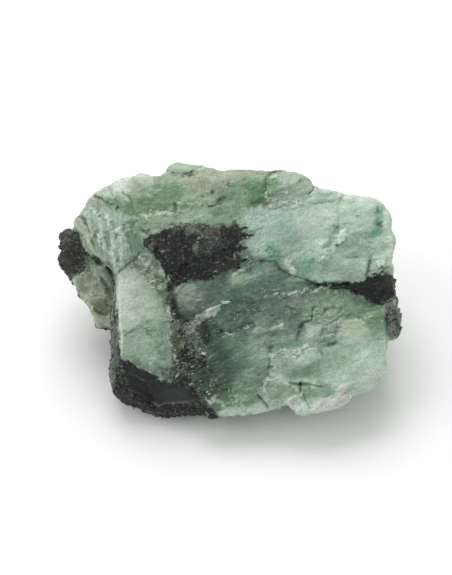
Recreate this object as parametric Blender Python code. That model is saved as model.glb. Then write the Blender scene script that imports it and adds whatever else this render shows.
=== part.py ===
"""A raw emerald crystal in its dark mica schist, lying on a broken flat underside.

The stone is one natural piece. It is cut the way a stone breaks: slabs of crystal and schist, each with an
outline and one or more fracture planes, are joined, and the joined stone is then split off all round by
the planes of its sides, its back and its underside.

Lengths in the tables are millimetres. The slabs are laid out on the broad broken face, which leans back:
u runs to the right across it, v runs up its slope and w stands out from it.
"""

import math

import bmesh
import bpy
from mathutils import Matrix, Vector

MM = 0.001

# The broad broken face: the bearing and climb of where it looks, and where its middle stands.
FACE_BEARING = -90
FACE_CLIMB = 50
FACE_CENTRE = Vector((-0.4, -5.5, 21.5)) * MM

# The heart of the stone, which the planes of the sides, back and underside are measured from.
HEART = Vector((0.1, 0.1, 14.5)) * MM

# Rough stock that a slab is cut from: how far it stands in front of its face and runs behind it.
STOCK_FRONT = 10.0
STOCK_BACK = -52.0
BLOCK_SIDE = 120 * MM

# The broken surface: grain of the shaping mesh, and the swell and chatter of its fractures.
SURFACE_GRAIN = 0.6 * MM
SWELL = {"size": 9 * MM, "height": 1.2 * MM}
CHATTER = {"size": 2.6 * MM, "height": 0.5 * MM}
KEEP_SHARE = 0.17  # of the shaping mesh's triangles

EMERALD_GREEN = (0.20, 0.38, 0.27, 1.0)
EMERALD_ROUGHNESS = 0.45

# Slabs of the broad face: name, outline (u, v), planes, narrowing behind the face per millimetre.
# A plane is ((u, v, w), lean in u, lean in v): it comes nearer by its lean for each millimetre along u or v.
FACE_SLABS = (
    (
        "core",
        ((-22, -7.5), (-22.2, -11.5), (-21.9, -16), (-20.9, -19.5), (-18.8, -21.6), (-16.3, -23),
         (-12, -23.8), (-7.5, -24), (2.5, -23.4), (7.8, -22.2), (11.2, -21.2), (13, -23), (17, -22.6),
         (20.5, -21.5), (22.3, -20.2), (21.9, -19.2), (24.7, -19), (27.7, -17.6), (28.8, -15.5),
         (28.5, -10.5), (29.5, -6),
         (30.5, -0.5), (30, 4.5), (29.5, 11.5), (28.5, 14), (26.5, 15.2), (21.5, 16.5), (16, 18), (13, 20),
         (6, 20.5), (-0.5, 20.5), (-5.5, 21.5), (-10, 21.5), (-14, 18.5), (-16.5, 16), (-19, 10.5),
         (-20.5, 4.5)),
        (((-8.5, 6.0, -1.2), 0.0, -0.05), ((-12.0, -15.5, -0.9), 0.18, 0.52),
         ((-19.5, -9.0, -1.4), 2.6, 0.0)),
        0.004,
    ),
    (
        "centre",
        ((-2.5, 1.8), (3, 4.5), (6.5, 5.5), (11.5, 5.5), (17, 1.5), (21.5, 0.5), (24.5, -2), (28.5, -4),
         (28.7, -9.5), (28.5, -15), (21.5, -19), (12.5, -22), (11.2, -21.2), (7.8, -22.2), (2.5, -23.4),
         (-3, -23.4), (-5, -19.5), (-4.5, -16), (-8.5, -14), (-9.5, -8), (-7.5, -5), (-3, -3)),
        (((8.0, -6.0, 0.2), 0.0, -0.06), ((0.0, -15.0, 0.5), 0.08, 0.16), ((-6.0, -9.0, 0.1), 0.15, 0.0)),
        0.004,
    ),
    (
        "upper_right",
        ((3, 4.5), (2, 10), (6.5, 15), (9, 17.5), (16.5, 17.9), (21.6, 17.1), (27.2, 16.1), (29.4, 14.6),
         (30.1, 12.6), (29.8, 10.3), (30.8, 9.4), (30.4, 7.5), (29.9, 5.5), (30.5, 2), (25, 1), (22.5, -0.5),
         (20, -0.5), (16.5, 1), (14, 3), (11.5, 4.5), (8, 5)),
        (((17.0, 8.5, 0.4), -0.04, -0.14), ((20.0, 14.5, -0.5), -0.08, -0.45), ((11.0, 7.0, 0.9), 0.1, 0.25)),
        0.004,
    ),
    (
        "upper_left",
        ((-13.5, 10), (-17.5, 15), (-17.6, 20), (-15.6, 21), (-13.1, 20), (-12, 20.4), (-10.8, 22.3),
         (-9, 23), (-5.6, 22.6), (-3, 21.8), (-1, 21), (1.5, 21.4), (6, 21.2), (9, 21.2), (13, 20.6),
         (15.4, 19.7), (16.4, 18.5), (13.5, 17.5), (9, 16.5), (6.5, 15), (2.5, 10.5)),
        (((-4.5, 16.0, -0.2), 0.0, -0.24), ((-4.0, 20.0, -1.4), 0.0, -0.9), ((-13.5, 14.0, 0.3), 0.3, -0.15)),
        0.004,
    ),
    (
        "middle_schist",
        ((-14.5, 9.5), (-12, 10.7), (0.7, 11), (3.5, 10), (3.2, 6.8), (1, 3.5), (-3, 1.7), (-8.3, 1.2),
         (-12, 3.5), (-13.7, 6.8)),
        (((-6.0, 6.0, 0.5), 0.0, 0.2), ((-6.0, 9.4, 1.2), 0.0, -0.5), ((0.5, 6.0, 0.5), -0.2, 0.1),
         ((-10.5, 4.0, 0.3), 0.3, 0.3)),
        0.01,
    ),
    (
        "left_facet",
        ((-19.5, 3.5), (-17.5, 4.5), (-13.5, 6), (-12, 4.5), (-10.5, 1), (-9.9, -2), (-9.1, -5), (-8.1, -7.5),
         (-8.7, -10), (-8.2, -12.5), (-10, -15.2), (-13.5, -16), (-19.5, -12.5)),
        (((-14.5, -4.0, 0.0), 0.1, -0.04), ((-14.5, -12.0, 0.1), 0.08, 0.15)),
        0.003,
    ),
    (
        "lump",
        ((-9.5, 0.5), (-4.5, 1.8), (-1.5, 0.5), (-2, -3), (-5.5, -6), (-8.5, -5.5), (-10, -2.5)),
        (((-6.5, -2.0, 0.4), 0.12, 0.0), ((-3.5, -2.0, 0.3), -0.3, 0.1), ((-6.5, 0.0, 0.3), 0.0, -0.4)),
        0.02,
    ),
    (
        "lower_right",
        ((7.5, -14), (11, -12.6), (14, -10.5), (16.5, -11.4), (21, -10), (28.7, -9.6), (28.8, -15.5),
         (27.7, -17.6), (24.7, -19), (21.9, -19.2), (22.3, -20.2), (20.5, -21.5), (17, -22.6), (13, -23),
         (11.2, -21.2), (7.5, -19.5), (6.5, -16.5)),
        (((18.5, -15.0, 0.8), -0.05, -0.02), ((24.5, -12.0, 0.5), -0.2, 0.0),
         ((10.5, -16.0, 0.9), 0.12, 0.08)),
        0.004,
    ),
    (
        "middle_right",
        ((12.5, -9.5), (13.5, -7.5), (16.5, -4.5), (21.5, -2), (24, -2), (28.5, -4.5), (28.7, -7.5),
         (21.5, -7), (15.5, -11), (11.5, -12)),
        (((21.5, -5.0, 0.35), -0.03, -0.04),),
        0.004,
    ),
    (
        "right_schist",
        ((21.5, -1), (25.5, 1.5), (30.5, 2.5), (30.7, -0.5), (31, -3.5), (28.5, -5), (24.5, -2.5)),
        (((27.0, -1.0, 0.0), -0.1, 0.0),),
        0.004,
    ),
    (
        "left_lobe",
        ((-13.5, 6), (-19.5, 3.5), (-21.7, 4), (-24.2, 6.5), (-26, 9.3), (-28, 11.2), (-28.1, 12.6),
         (-26.2, 13.8), (-26, 15.5), (-24.2, 16.9), (-22.4, 18.1), (-20.5, 19.1), (-17.6, 20.6), (-14.5, 20),
         (-13, 13), (-13, 8.5)),
        (((-19.0, 11.5, -1.1), 0.3, -0.05), ((-24.0, 12.0, -2.7), 0.75, -0.2),
         ((-18.0, 17.0, -1.4), 0.2, -0.6)),
        0.004,
    ),
)

# Outcrops that stand out past the stone's sides, with one plane more, which splits off what is behind them.
OUTCROPS = (
    (
        "right_knob",
        ((25, -3), (31.2, -3), (31.7, -5), (32.1, -8.5), (31.2, -9.7), (29, -9.7), (25, -8.5)),
        (((30.0, -7.0, -2.0), -0.3, 0.0),),
        0.01,
        ((30.0, -6.0, -9.5), -0.3, 0.3),
    ),
    (
        "left_tab",
        ((-15, 7), (-15, -7.4), (-21.6, -7.6), (-24, -7.8), (-25.2, -4.3), (-27.6, -1), (-29.4, 1.9),
         (-28, 5), (-25, 8)),
        (((-23.5, -0.5, -8.0), 0.2, 0.1), ((-25.5, 0.0, -8.6), 0.8, 0.2)),
        0.004,
        ((-24.0, -3.0, -16.5), -0.5, -0.75),
    ),
    (
        "left_knob",
        ((-30.7, 9.6), (-28.6, 10.6), (-26.5, 11), (-22.5, 10.5), (-22.5, 3.5), (-26.5, 1.4), (-29.1, 1.6),
         (-30.7, 3.4), (-31.3, 5.3), (-30.6, 7.5)),
        (((-28.0, 6.0, -7.5), 0.2, 0.0), ((-29.0, 8.5, -7.8), 0.2, -0.6), ((-29.0, 3.2, -7.8), 0.3, 0.6)),
        0.004,
        ((-28.0, 6.0, -18.5), -0.6, -0.3),
    ),
)

# Planes of the sides, back and underside: name, bearing from +X towards +Y and climb above the horizontal
# in degrees, and distance from the heart.
SPLITS = (
    ("front undercut", -90, -50, 23.0),
    ("front left undercut", -122, -42, 27.6),
    ("front right undercut", -55, -40, 27.5),
    ("right side", 0, 10, 33.0),
    ("right undercut", -10, -35, 28.3),
    ("back right shoulder", 47, 22, 29.0),
    ("back right foot", 52, -25, 24.2),
    ("back shoulder", 92, 30, 23.6),
    ("back wall", 84, -6, 21.2),
    ("back foot", 97, -32, 18.8),
    ("back left shoulder", 132, 18, 28.6),
    ("back left wall", 140, -14, 25.2),
    ("left undercut", 186, -38, 25.2),
    ("left back foot", 158, -42, 20.5),
    ("left end", 180, 4, 31.0),
    ("crest", 88, 62, 23.4),
)

# Scars where flakes have come away behind: name, bearing and climb of the plane, distance of the scar's floor
# from the heart, and its outline across the plane, to the right and up as seen from outside.
SCARS = (
    (
        "high scar", 92, 30, 22.0,
        ((-15, -6), (-4, -9), (4, -4), (11, -8), (17, -3), (12, 3), (2, 1), (-9, 4.5)),
    ),
    (
        "low scar", 84, -6, 19.6,
        ((1, -11), (11, -9), (19, -2), (13, 5), (3, 3), (-4, -3)),
    ),
    (
        "corner scar", 47, 22, 27.2,
        ((-3, -11), (7, -9), (10, 1), (2, 3), (-7, -1)),
    ),
    (
        "left scar", 140, -14, 23.4,
        ((-11, -6), (-2, -11), (8, -7), (6, 2), (-4, 5), (-9, 1)),
    ),
)

# How far outside its floor a scar's mouth is taken, and how much wider it grows for each millimetre outwards.
SCAR_MOUTH = 8.0
SCAR_FLARE = 0.1


def clear_scene():
    for item in list(bpy.data.objects):
        bpy.data.objects.remove(item, do_unlink=True)


def direction(bearing, climb):
    around, up = math.radians(bearing), math.radians(climb)
    return Vector((math.cos(around) * math.cos(up), math.sin(around) * math.cos(up), math.sin(up)))


def plane_frame(bearing, climb, centre):
    """Carries (u, v, w) on a broken face, in millimetres, to the stone's own frame, in metres."""
    outward = direction(bearing, climb)
    across = Vector((-math.sin(math.radians(bearing)), math.cos(math.radians(bearing)), 0))
    upward = outward.cross(across)
    turn = Matrix((across, upward, outward)).transposed().to_4x4()
    return Matrix.Translation(centre) @ turn @ Matrix.Scale(MM, 4)


def chisel(stock, point, outward):
    """Splits off what lies beyond a plane and closes the fresh break."""
    everything = stock.verts[:] + stock.edges[:] + stock.faces[:]
    cut = bmesh.ops.bisect_plane(stock, geom=everything, plane_co=point, plane_no=outward, clear_outer=True)
    rim = [edge for edge in cut["geom_cut"] if isinstance(edge, bmesh.types.BMEdge)]
    if rim:
        bmesh.ops.edgeloop_fill(stock, edges=rim)


def solid_object(name, shape):
    bmesh.ops.recalc_face_normals(shape, faces=shape.faces)
    mesh = bpy.data.meshes.new(name)
    shape.to_mesh(mesh)
    shape.free()
    made = bpy.data.objects.new(name, mesh)
    bpy.context.scene.collection.objects.link(made)
    return made


def column(outline, near, far, narrowing, face_depth=0.0):
    """A tapering column of stock behind an outline, true to the outline at the depth of its face."""
    middle = sum((Vector(point) for point in outline), Vector((0, 0))) / len(outline)
    stock = bmesh.new()
    rings = []
    for depth in (near, far):
        spread = 1 + narrowing * (depth - face_depth)
        ring = [middle + (Vector(point) - middle) * spread for point in outline]
        rings.append([stock.verts.new((u, v, depth)) for u, v in ring])
    front, back = rings
    stock.faces.new(front)
    stock.faces.new(reversed(back))
    for here in range(len(outline)):
        after = (here + 1) % len(outline)
        stock.faces.new((front[after], front[here], back[here], back[after]))
    return stock


def slab(name, outline, planes, narrowing, behind=None):
    """A column split off at its front along its fracture planes and, on an outcrop, behind as well."""
    stock = column(outline, STOCK_FRONT, STOCK_BACK, narrowing, face_depth=planes[0][0][2])
    for point, lean_u, lean_v in planes:
        chisel(stock, Vector(point), Vector((-lean_u, -lean_v, 1)).normalized())
    if behind:
        point, lean_u, lean_v = behind
        chisel(stock, Vector(point), Vector((lean_u, lean_v, -1)).normalized())
    stock.transform(plane_frame(FACE_BEARING, FACE_CLIMB, FACE_CENTRE))
    return solid_object(name, stock)


def scar(name, bearing, climb, distance, outline):
    """What came away where a flake split off: its floor on the outline, and flaring outwards."""
    stock = column(outline, SCAR_MOUTH, 0, SCAR_FLARE)
    stock.transform(plane_frame(bearing, climb, HEART + direction(bearing, climb) * distance * MM))
    return solid_object(name, stock)


def outer_block():
    """The convex block that the planes of the sides, back and underside leave."""
    stock = bmesh.new()
    bmesh.ops.create_cube(stock, size=BLOCK_SIDE)
    bmesh.ops.translate(stock, verts=stock.verts, vec=HEART)
    for _, bearing, climb, distance in SPLITS:
        outward = direction(bearing, climb)
        chisel(stock, HEART + outward * distance * MM, outward)
    return solid_object("outer_block", stock)


def ground_block():
    """What the flat underside is broken off against: everything below the table."""
    stock = bmesh.new()
    bmesh.ops.create_cube(stock, size=BLOCK_SIDE)
    bmesh.ops.translate(stock, verts=stock.verts, vec=Vector((0, 0, -BLOCK_SIDE / 2)))
    return solid_object("ground_block", stock)


def boolean(target, name, operation, shapers):
    """Joins shapers to the target, cuts them out of it, or keeps only what both hold."""
    group = bpy.data.collections.new(name)
    for shaper in shapers:
        group.objects.link(shaper)
        shaper.hide_render = True
        shaper.display_type = "WIRE"
    cut = target.modifiers.new(name, "BOOLEAN")
    cut.operation = operation
    cut.solver = "EXACT"
    cut.use_hole_tolerant = True
    cut.operand_type = "COLLECTION"
    cut.collection = group


def roughen(target, name, size, height):
    """Raises and sinks the surface by up to half the height, in swells of the given size."""
    swell = bpy.data.textures.new(name, "CLOUDS")
    swell.noise_scale = size
    swell.noise_depth = 1
    relief = target.modifiers.new(name, "DISPLACE")
    relief.texture = swell
    relief.texture_coords = "LOCAL"
    relief.strength = height
    relief.mid_level = 0.5


def emerald_material():
    material = bpy.data.materials.new("raw_emerald")
    material.use_nodes = True
    surface = material.node_tree.nodes["Principled BSDF"]
    surface.inputs["Base Color"].default_value = EMERALD_GREEN
    surface.inputs["Roughness"].default_value = EMERALD_ROUGHNESS
    surface.inputs["Metallic"].default_value = 0.0
    return material


def emerald_stone():
    stone, *slabs = [slab(*row) for row in FACE_SLABS]
    stone.name = "emerald_crystal"
    stone.data.materials.append(emerald_material())
    boolean(stone, "join slabs", "UNION", slabs)
    boolean(stone, "split sides", "INTERSECT", [outer_block()])
    boolean(stone, "join outcrops", "UNION", [slab(*row) for row in OUTCROPS])
    boolean(stone, "flake back", "DIFFERENCE", [scar(*row) for row in SCARS])
    grain = stone.modifiers.new("grain", "REMESH")
    grain.mode = "VOXEL"
    grain.voxel_size = SURFACE_GRAIN
    roughen(stone, "swell", **SWELL)
    roughen(stone, "chatter", **CHATTER)
    coarse = stone.modifiers.new("coarse", "DECIMATE")
    coarse.ratio = KEEP_SHARE
    boolean(stone, "flat underside", "DIFFERENCE", [ground_block()])
    return stone


def main():
    clear_scene()
    emerald_stone()


main()
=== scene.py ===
"""Looks of the raw emerald crystal in its mica schist, laid out as a Blender add-on and run as a script.

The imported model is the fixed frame. One operator makes the stone's surface around it, two more set mica
flakes and splinters on that surface, and the last sets the stage. Lengths in the tables and in the working
are millimetres; the settings and the meshes are in metres.

Places on the broad broken face are given as (u, v) seen square on from the viewing distance: u runs to
the right, v up the slope. Places on the other sides are given as (x, y, z) in the stone's own frame.
"""
import math
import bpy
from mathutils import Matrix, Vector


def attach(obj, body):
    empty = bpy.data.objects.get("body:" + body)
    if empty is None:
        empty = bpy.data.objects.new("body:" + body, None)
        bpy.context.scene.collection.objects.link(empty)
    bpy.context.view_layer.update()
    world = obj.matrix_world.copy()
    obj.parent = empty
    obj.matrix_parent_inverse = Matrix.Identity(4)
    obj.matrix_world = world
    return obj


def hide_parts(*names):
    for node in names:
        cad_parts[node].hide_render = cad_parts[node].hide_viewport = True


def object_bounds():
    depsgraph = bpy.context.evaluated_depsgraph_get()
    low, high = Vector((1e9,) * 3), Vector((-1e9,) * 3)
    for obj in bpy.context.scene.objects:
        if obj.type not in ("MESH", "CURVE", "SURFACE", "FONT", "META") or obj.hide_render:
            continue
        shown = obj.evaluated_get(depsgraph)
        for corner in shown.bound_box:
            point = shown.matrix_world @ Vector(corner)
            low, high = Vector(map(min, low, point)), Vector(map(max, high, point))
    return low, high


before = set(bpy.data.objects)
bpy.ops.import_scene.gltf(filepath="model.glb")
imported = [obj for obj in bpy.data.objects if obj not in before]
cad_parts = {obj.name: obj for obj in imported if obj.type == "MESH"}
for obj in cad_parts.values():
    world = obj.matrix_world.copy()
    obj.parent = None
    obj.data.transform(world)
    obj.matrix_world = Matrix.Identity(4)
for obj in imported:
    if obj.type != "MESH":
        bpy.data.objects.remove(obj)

from types import SimpleNamespace

import bmesh
import bpy
import numpy as np
from mathutils import Matrix, Vector

bl_info = {
    "name": "Raw Emerald Crystal",
    "version": (1, 0, 0),
    "blender": (4, 5, 0),
    "location": "3D View > Sidebar > Emerald",
    "description": "Builds the surface, mica and splinters of a raw emerald crystal, and its stage",
    "category": "Object",
}

MM = 0.001
NODE = "emerald_crystal"
BODY = "root"
CAD_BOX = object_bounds()

# The broad broken face: its middle and how steeply it looks up, and the distance it is seen from.
FACE_CENTRE = np.array((-0.4, -5.5, 21.5))
FACE_CLIMB = math.radians(50)
VIEW_DISTANCE = 300.0
ACROSS = np.array((1.0, 0.0, 0.0))
UPWARD = np.array((0.0, math.sin(FACE_CLIMB), math.cos(FACE_CLIMB)))
OUTWARD = np.array((0.0, -math.cos(FACE_CLIMB), math.sin(FACE_CLIMB)))

# How deep behind the face its own pattern runs before the pattern of the stone's body takes over.
FACE_DEPTH = (-26.0, -18.0)
FACE_TURN = (-0.05, 0.22)

# The crystal's grain on the face, in degrees from u towards v, and its steeper grain on the left lobe.
GRAIN_TURN = 17.0
LOBE_TURN = 101.0

# Named noises: size in millimetres, salt and octaves. A salt keeps one noise apart from the others, and a
# noise that is drawn for two or three axes takes the next salts too.
NOISES = {
    "warp": (2.1, 101, 3),
    "ripple": (0.7, 106, 1),
    "jag": (0.5, 110, 1),
    "bend": (1.6, 404, 2),
    "gravel": (0.6, 505, 2),
    "sand": (0.5, 508, 1),
    "white": (3.4, 707, 2),
    "body": (6.0, 808, 3),
    "mottle": (1.1, 1212, 3),
    "patch": (2.6, 1219, 3),
    "crumb": (0.5, 1225, 1),
}

# Salts of the noises and facets whose size is a setting.
SALTS = {
    "facets": 202, "plates": 303, "swell": 413, "books": 606, "blocks": 626, "ledges": 909, "shelves": 1010,
    "breaks": 1111, "specks": 1233}


# ---- repeatable noise

HASH_STEPS = np.array((374761393, 668265263, 1440662683), np.int64)
HASH_MASK = np.int64(0x7FFFFFFF)
HASH_SALT = 974634777
HASH_ROUNDS = ((15, 73244475), (13, 73244475), (16, 1))
OCTAVE_SHIFT = 17.3
NOISE_SWING = 1.5
CORNERS = np.array([(x, y, z) for x in (0, 1) for y in (0, 1) for z in (0, 1)], np.int64)
NEIGHBOURS = np.array([(x, y, z) for x in (-1, 0, 1) for y in (-1, 0, 1) for z in (-1, 0, 1)], np.int64)


def chance(cells, salt):
    """One repeatable random number from 0 to 1 for each whole-number cell."""
    mixed = (cells @ HASH_STEPS + salt * HASH_SALT) & HASH_MASK
    for shift, factor in HASH_ROUNDS:
        mixed = ((mixed ^ (mixed >> shift)) * factor) & HASH_MASK
    return mixed / float(HASH_MASK)


def swing(cells, salt):
    """One repeatable random number from -1 to 1 for each whole-number cell."""
    return chance(cells, salt) * 2 - 1


def smooth_noise(points, size, salt, octaves=1):
    """Smooth noise from about -1 to 1 that changes over the given size."""
    total, share, whole = np.zeros(len(points)), 1.0, 0.0
    for octave in range(octaves):
        scaled = points * (2 ** octave / size) + OCTAVE_SHIFT * octave
        home = np.floor(scaled).astype(np.int64)
        part = scaled - home
        fade = part * part * part * (part * (part * 6 - 15) + 10)
        for corner in CORNERS:
            weight = np.prod(np.where(corner, fade, 1 - fade), axis=1)
            total += share * weight * swing(home + corner, salt + octave)
        whole += share
        share *= 0.5
    return total / whole * NOISE_SWING


def named_noise(points, name):
    """One of the named noises, from about -1 to 1."""
    size, salt, octaves = NOISES[name]
    return smooth_noise(points, size, salt, octaves)


def drift(points, name, axes):
    """One of the named noises, drawn once for each axis."""
    size, salt, octaves = NOISES[name]
    return np.stack([smooth_noise(points, size, salt + axis, octaves) for axis in range(axes)], axis=1)


def cell_noise(points, size, salt):
    """The nearest of a field of scattered seeds: its cell and the way from it."""
    scaled = points / size
    home = np.floor(scaled).astype(np.int64)
    nearest = np.full(len(points), np.inf)
    cell, away = home.copy(), np.zeros((len(points), 3))
    for step in NEIGHBOURS:
        here = home + step
        seed = here + np.stack([chance(here, salt + axis) for axis in range(3)], axis=1)
        gap = scaled - seed
        length = (gap * gap).sum(axis=1)
        closer = length < nearest
        nearest = np.where(closer, length, nearest)
        cell[closer] = here[closer]
        away[closer] = gap[closer]
    return cell, away * size


def ramp(values, low, high):
    """0 below low, 1 above high and smooth between."""
    part = np.clip((values - low) / (high - low), 0.0, 1.0)
    return part * part * (3 - 2 * part)


LEVEL_SALT = 11
LEAN_SALT = 12


def facets(points, size, salt, step, lean):
    """Heights of small flat facets, each at its own level and leaning its own way."""
    cell, away = cell_noise(points, size, salt)
    height = swing(cell, salt + LEVEL_SALT) * step
    for axis in range(3):
        height += swing(cell, salt + LEAN_SALT + axis) * lean * away[:, axis]
    return height


LEDGE_OCTAVES = 3
RISER_FOOT = 0.78


def ledges(points, size, salt, levels):
    """Smooth noise cut into shelves: its height, and the way from a lip, 0, to the next riser, 1."""
    height = smooth_noise(points, size, salt, LEDGE_OCTAVES) * levels
    shelf = np.floor(height)
    part = height - shelf
    return (shelf + ramp(part, RISER_FOOT, 1.0)) / levels, part


# ---- places and outlines on the face


def face_places(points):
    """(u, v) of points as seen square on from the viewing distance, and how far they stand out (w)."""
    local = points - FACE_CENTRE
    out = local @ OUTWARD
    nearness = VIEW_DISTANCE / (VIEW_DISTANCE - out)
    return np.stack((local @ ACROSS * nearness, local @ UPWARD * nearness), axis=1), out


def grain_axes(turn):
    """Axes along the grain, across it and out of the face, for a grain turned that far on the face."""
    turn = math.radians(turn)
    along = math.cos(turn) * ACROSS + math.sin(turn) * UPWARD
    beside = math.cos(turn) * UPWARD - math.sin(turn) * ACROSS
    return np.stack((along, beside, OUTWARD))


def line_gap(places, line):
    """Distance of places from a line of points, and how far along it the nearest one lies, from 0 to 1."""
    gap, share = np.full(len(places), np.inf), np.zeros(len(places))
    line = np.array(line, float)
    stretches = len(line) - 1
    for number in range(stretches):
        start, run = line[number], line[number + 1] - line[number]
        part = np.clip(((places - start) @ run) / max(run @ run, 1e-9), 0, 1)
        here = np.linalg.norm(places - start - part[:, None] * run, axis=1)
        closer = here < gap
        gap[closer] = here[closer]
        share[closer] = ((number + part) / stretches)[closer]
    return gap, share


def taper(width, run):
    """The half width of a line that has one at each end, at each share of its run."""
    return width[0] + (width[1] - width[0]) * run


def outline_depth(places, outline):
    """How deep places lie inside a closed outline; negative outside it."""
    ring = [*outline, outline[0]]
    gap, _ = line_gap(places, ring)
    inside = np.zeros(len(places), bool)
    for (u, v), (next_u, next_v) in zip(ring, ring[1:]):
        if v == next_v:
            continue
        crosses = (places[:, 1] < v) != (places[:, 1] < next_v)
        inside ^= crosses & (places[:, 0] < u + (places[:, 1] - v) * (next_u - u) / (next_v - v))
    return np.where(inside, gap, -gap)


def patch_depth(places, centre, reach, turn):
    """1 at the middle of an oval patch, 0 on its rim and negative outside."""
    turn = math.radians(turn)
    local = places - np.array(centre)
    along = (local[:, 0] * math.cos(turn) + local[:, 1] * math.sin(turn)) / reach[0]
    beside = (local[:, 1] * math.cos(turn) - local[:, 0] * math.sin(turn)) / reach[1]
    return 1 - np.sqrt(along * along + beside * beside)


# ---- paint on the face

# Oval patches, the broad ones first: tone, middle (u, v), half length and half width, turn in degrees,
# softness of the rim, strength.
GROUND_PATCHES = (
    ("teal", (3, -6), (13, 12), 0, 0.4, 1),
    ("slate", (9, -6), (7, 5), 15, 0.5, 0.8),
    ("sage", (-6, 16), (14, 7), 0, 0.3, 1),
    ("mist", (-22, 12), (8, 9), 60, 0.3, 1),
    ("khaki", (-24, -2), (7, 7.5), 70, 0.3, 1),
    ("mint", (18, 10), (15, 8.5), -8, 0.35, 1),
    ("fern", (21, -4), (9, 4), 0, 0.4, 1),
    ("mint", (18, -16), (13, 7), 8, 0.35, 1),
    ("mist", (-14.5, -5), (5.5, 11), 0, 0.3, 1),
)

# Plates of crystal that are both painted and cut or calmed: their outlines (u, v).
FOOT_PLATE = ((6.8, -16.6), (9.8, -16.2), (11.8, -17.4), (13.6, -19.4), (11.2, -20.4), (9.6, -22),
    (7.4, -20.4))
PALE_PLATE = ((20.4, -6.6), (23, -5.8), (25, -6.3), (24.9, -9), (21.5, -10.4), (20, -9))

# Outlined stretches: tone, softness in millimetres, strength, outline (u, v).
FACE_OUTLINES = (
    ("sage", 0.8, 1, ((-18, 10.5), (-17, 20), (-14, 21), (-9, 24), (0, 22), (7, 22), (16.2, 21),
        (15.3, 17.2), (9, 15.6), (6.6, 14.6), (3.2, 13), (1.5, 11.2), (-9, 11.2), (-14, 10))),
    ("leaf", 0.45, 0.85, ((2.9, 19.9), (3.3, 15.8), (4.2, 14.5), (6.8, 14.9), (7.3, 19.6), (5.6, 20.2))),
    ("mint", 0.9, 1, ((3.6, 8.5), (3.8, 11.8), (6.3, 14.2), (9.4, 15.4), (15, 16.8), (16.4, 19.5), (32, 18),
        (32, 2.5), (25.5, 2.2), (24.5, 1.2), (15.5, 1), (13.5, 2.2), (10, 3), (8, 5), (5, 6))),
    ("mist", 0.5, 0.95, ((-20, 1.6), (-18.2, 3.2), (-15.6, 3), (-12.2, 0.8), (-10.6, -3.2), (-10.4, -5.6),
        (-14, -6.6), (-17.5, -8.2), (-18.9, -8.6), (-19.7, -4))),
    ("celadon", 0.6, 1, ((-18.9, -8.4), (-17.4, -8.2), (-14, -6.5), (-10.2, -5.8), (-9.7, -14.6),
        (-12, -15.9), (-15, -14.7), (-18.7, -12.4))),
    ("celadon", 0.3, 0.85, ((-2.8, -3.6), (-3.5, -5.4), (-4.9, -6.3), (-6.3, -6.6), (-6.2, -5.7),
        (-4.8, -4.6))),
    ("mint", 0.5, 0.9, ((7.9, -12.2), (10.4, -11.6), (12.5, -11.9), (14, -10.4), (16.3, -11.2), (19, -10),
        (24, -9), (28.4, -9.7), (28.9, -17), (22, -19.5), (20, -23), (12, -23.5), (9, -21), (8.2, -17))),
    ("sage", 0.3, 0.6, FOOT_PLATE),
    ("pale", 0.7, 0.6, ((20.2, -6.4), (22.4, -5.9), (25, -6.2), (25.2, -7.4), (24.8, -9.4), (22.4, -10.3),
        (20.8, -9.6), (20.6, -8))),
    ("blush", 0.2, 0.9, ((14.2, -22.4), (17.4, -20), (20.8, -17.6), (22.6, -17.2), (21.6, -18.6),
        (22.6, -19.6), (20.6, -21.4), (17.8, -23.4))),
)

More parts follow.
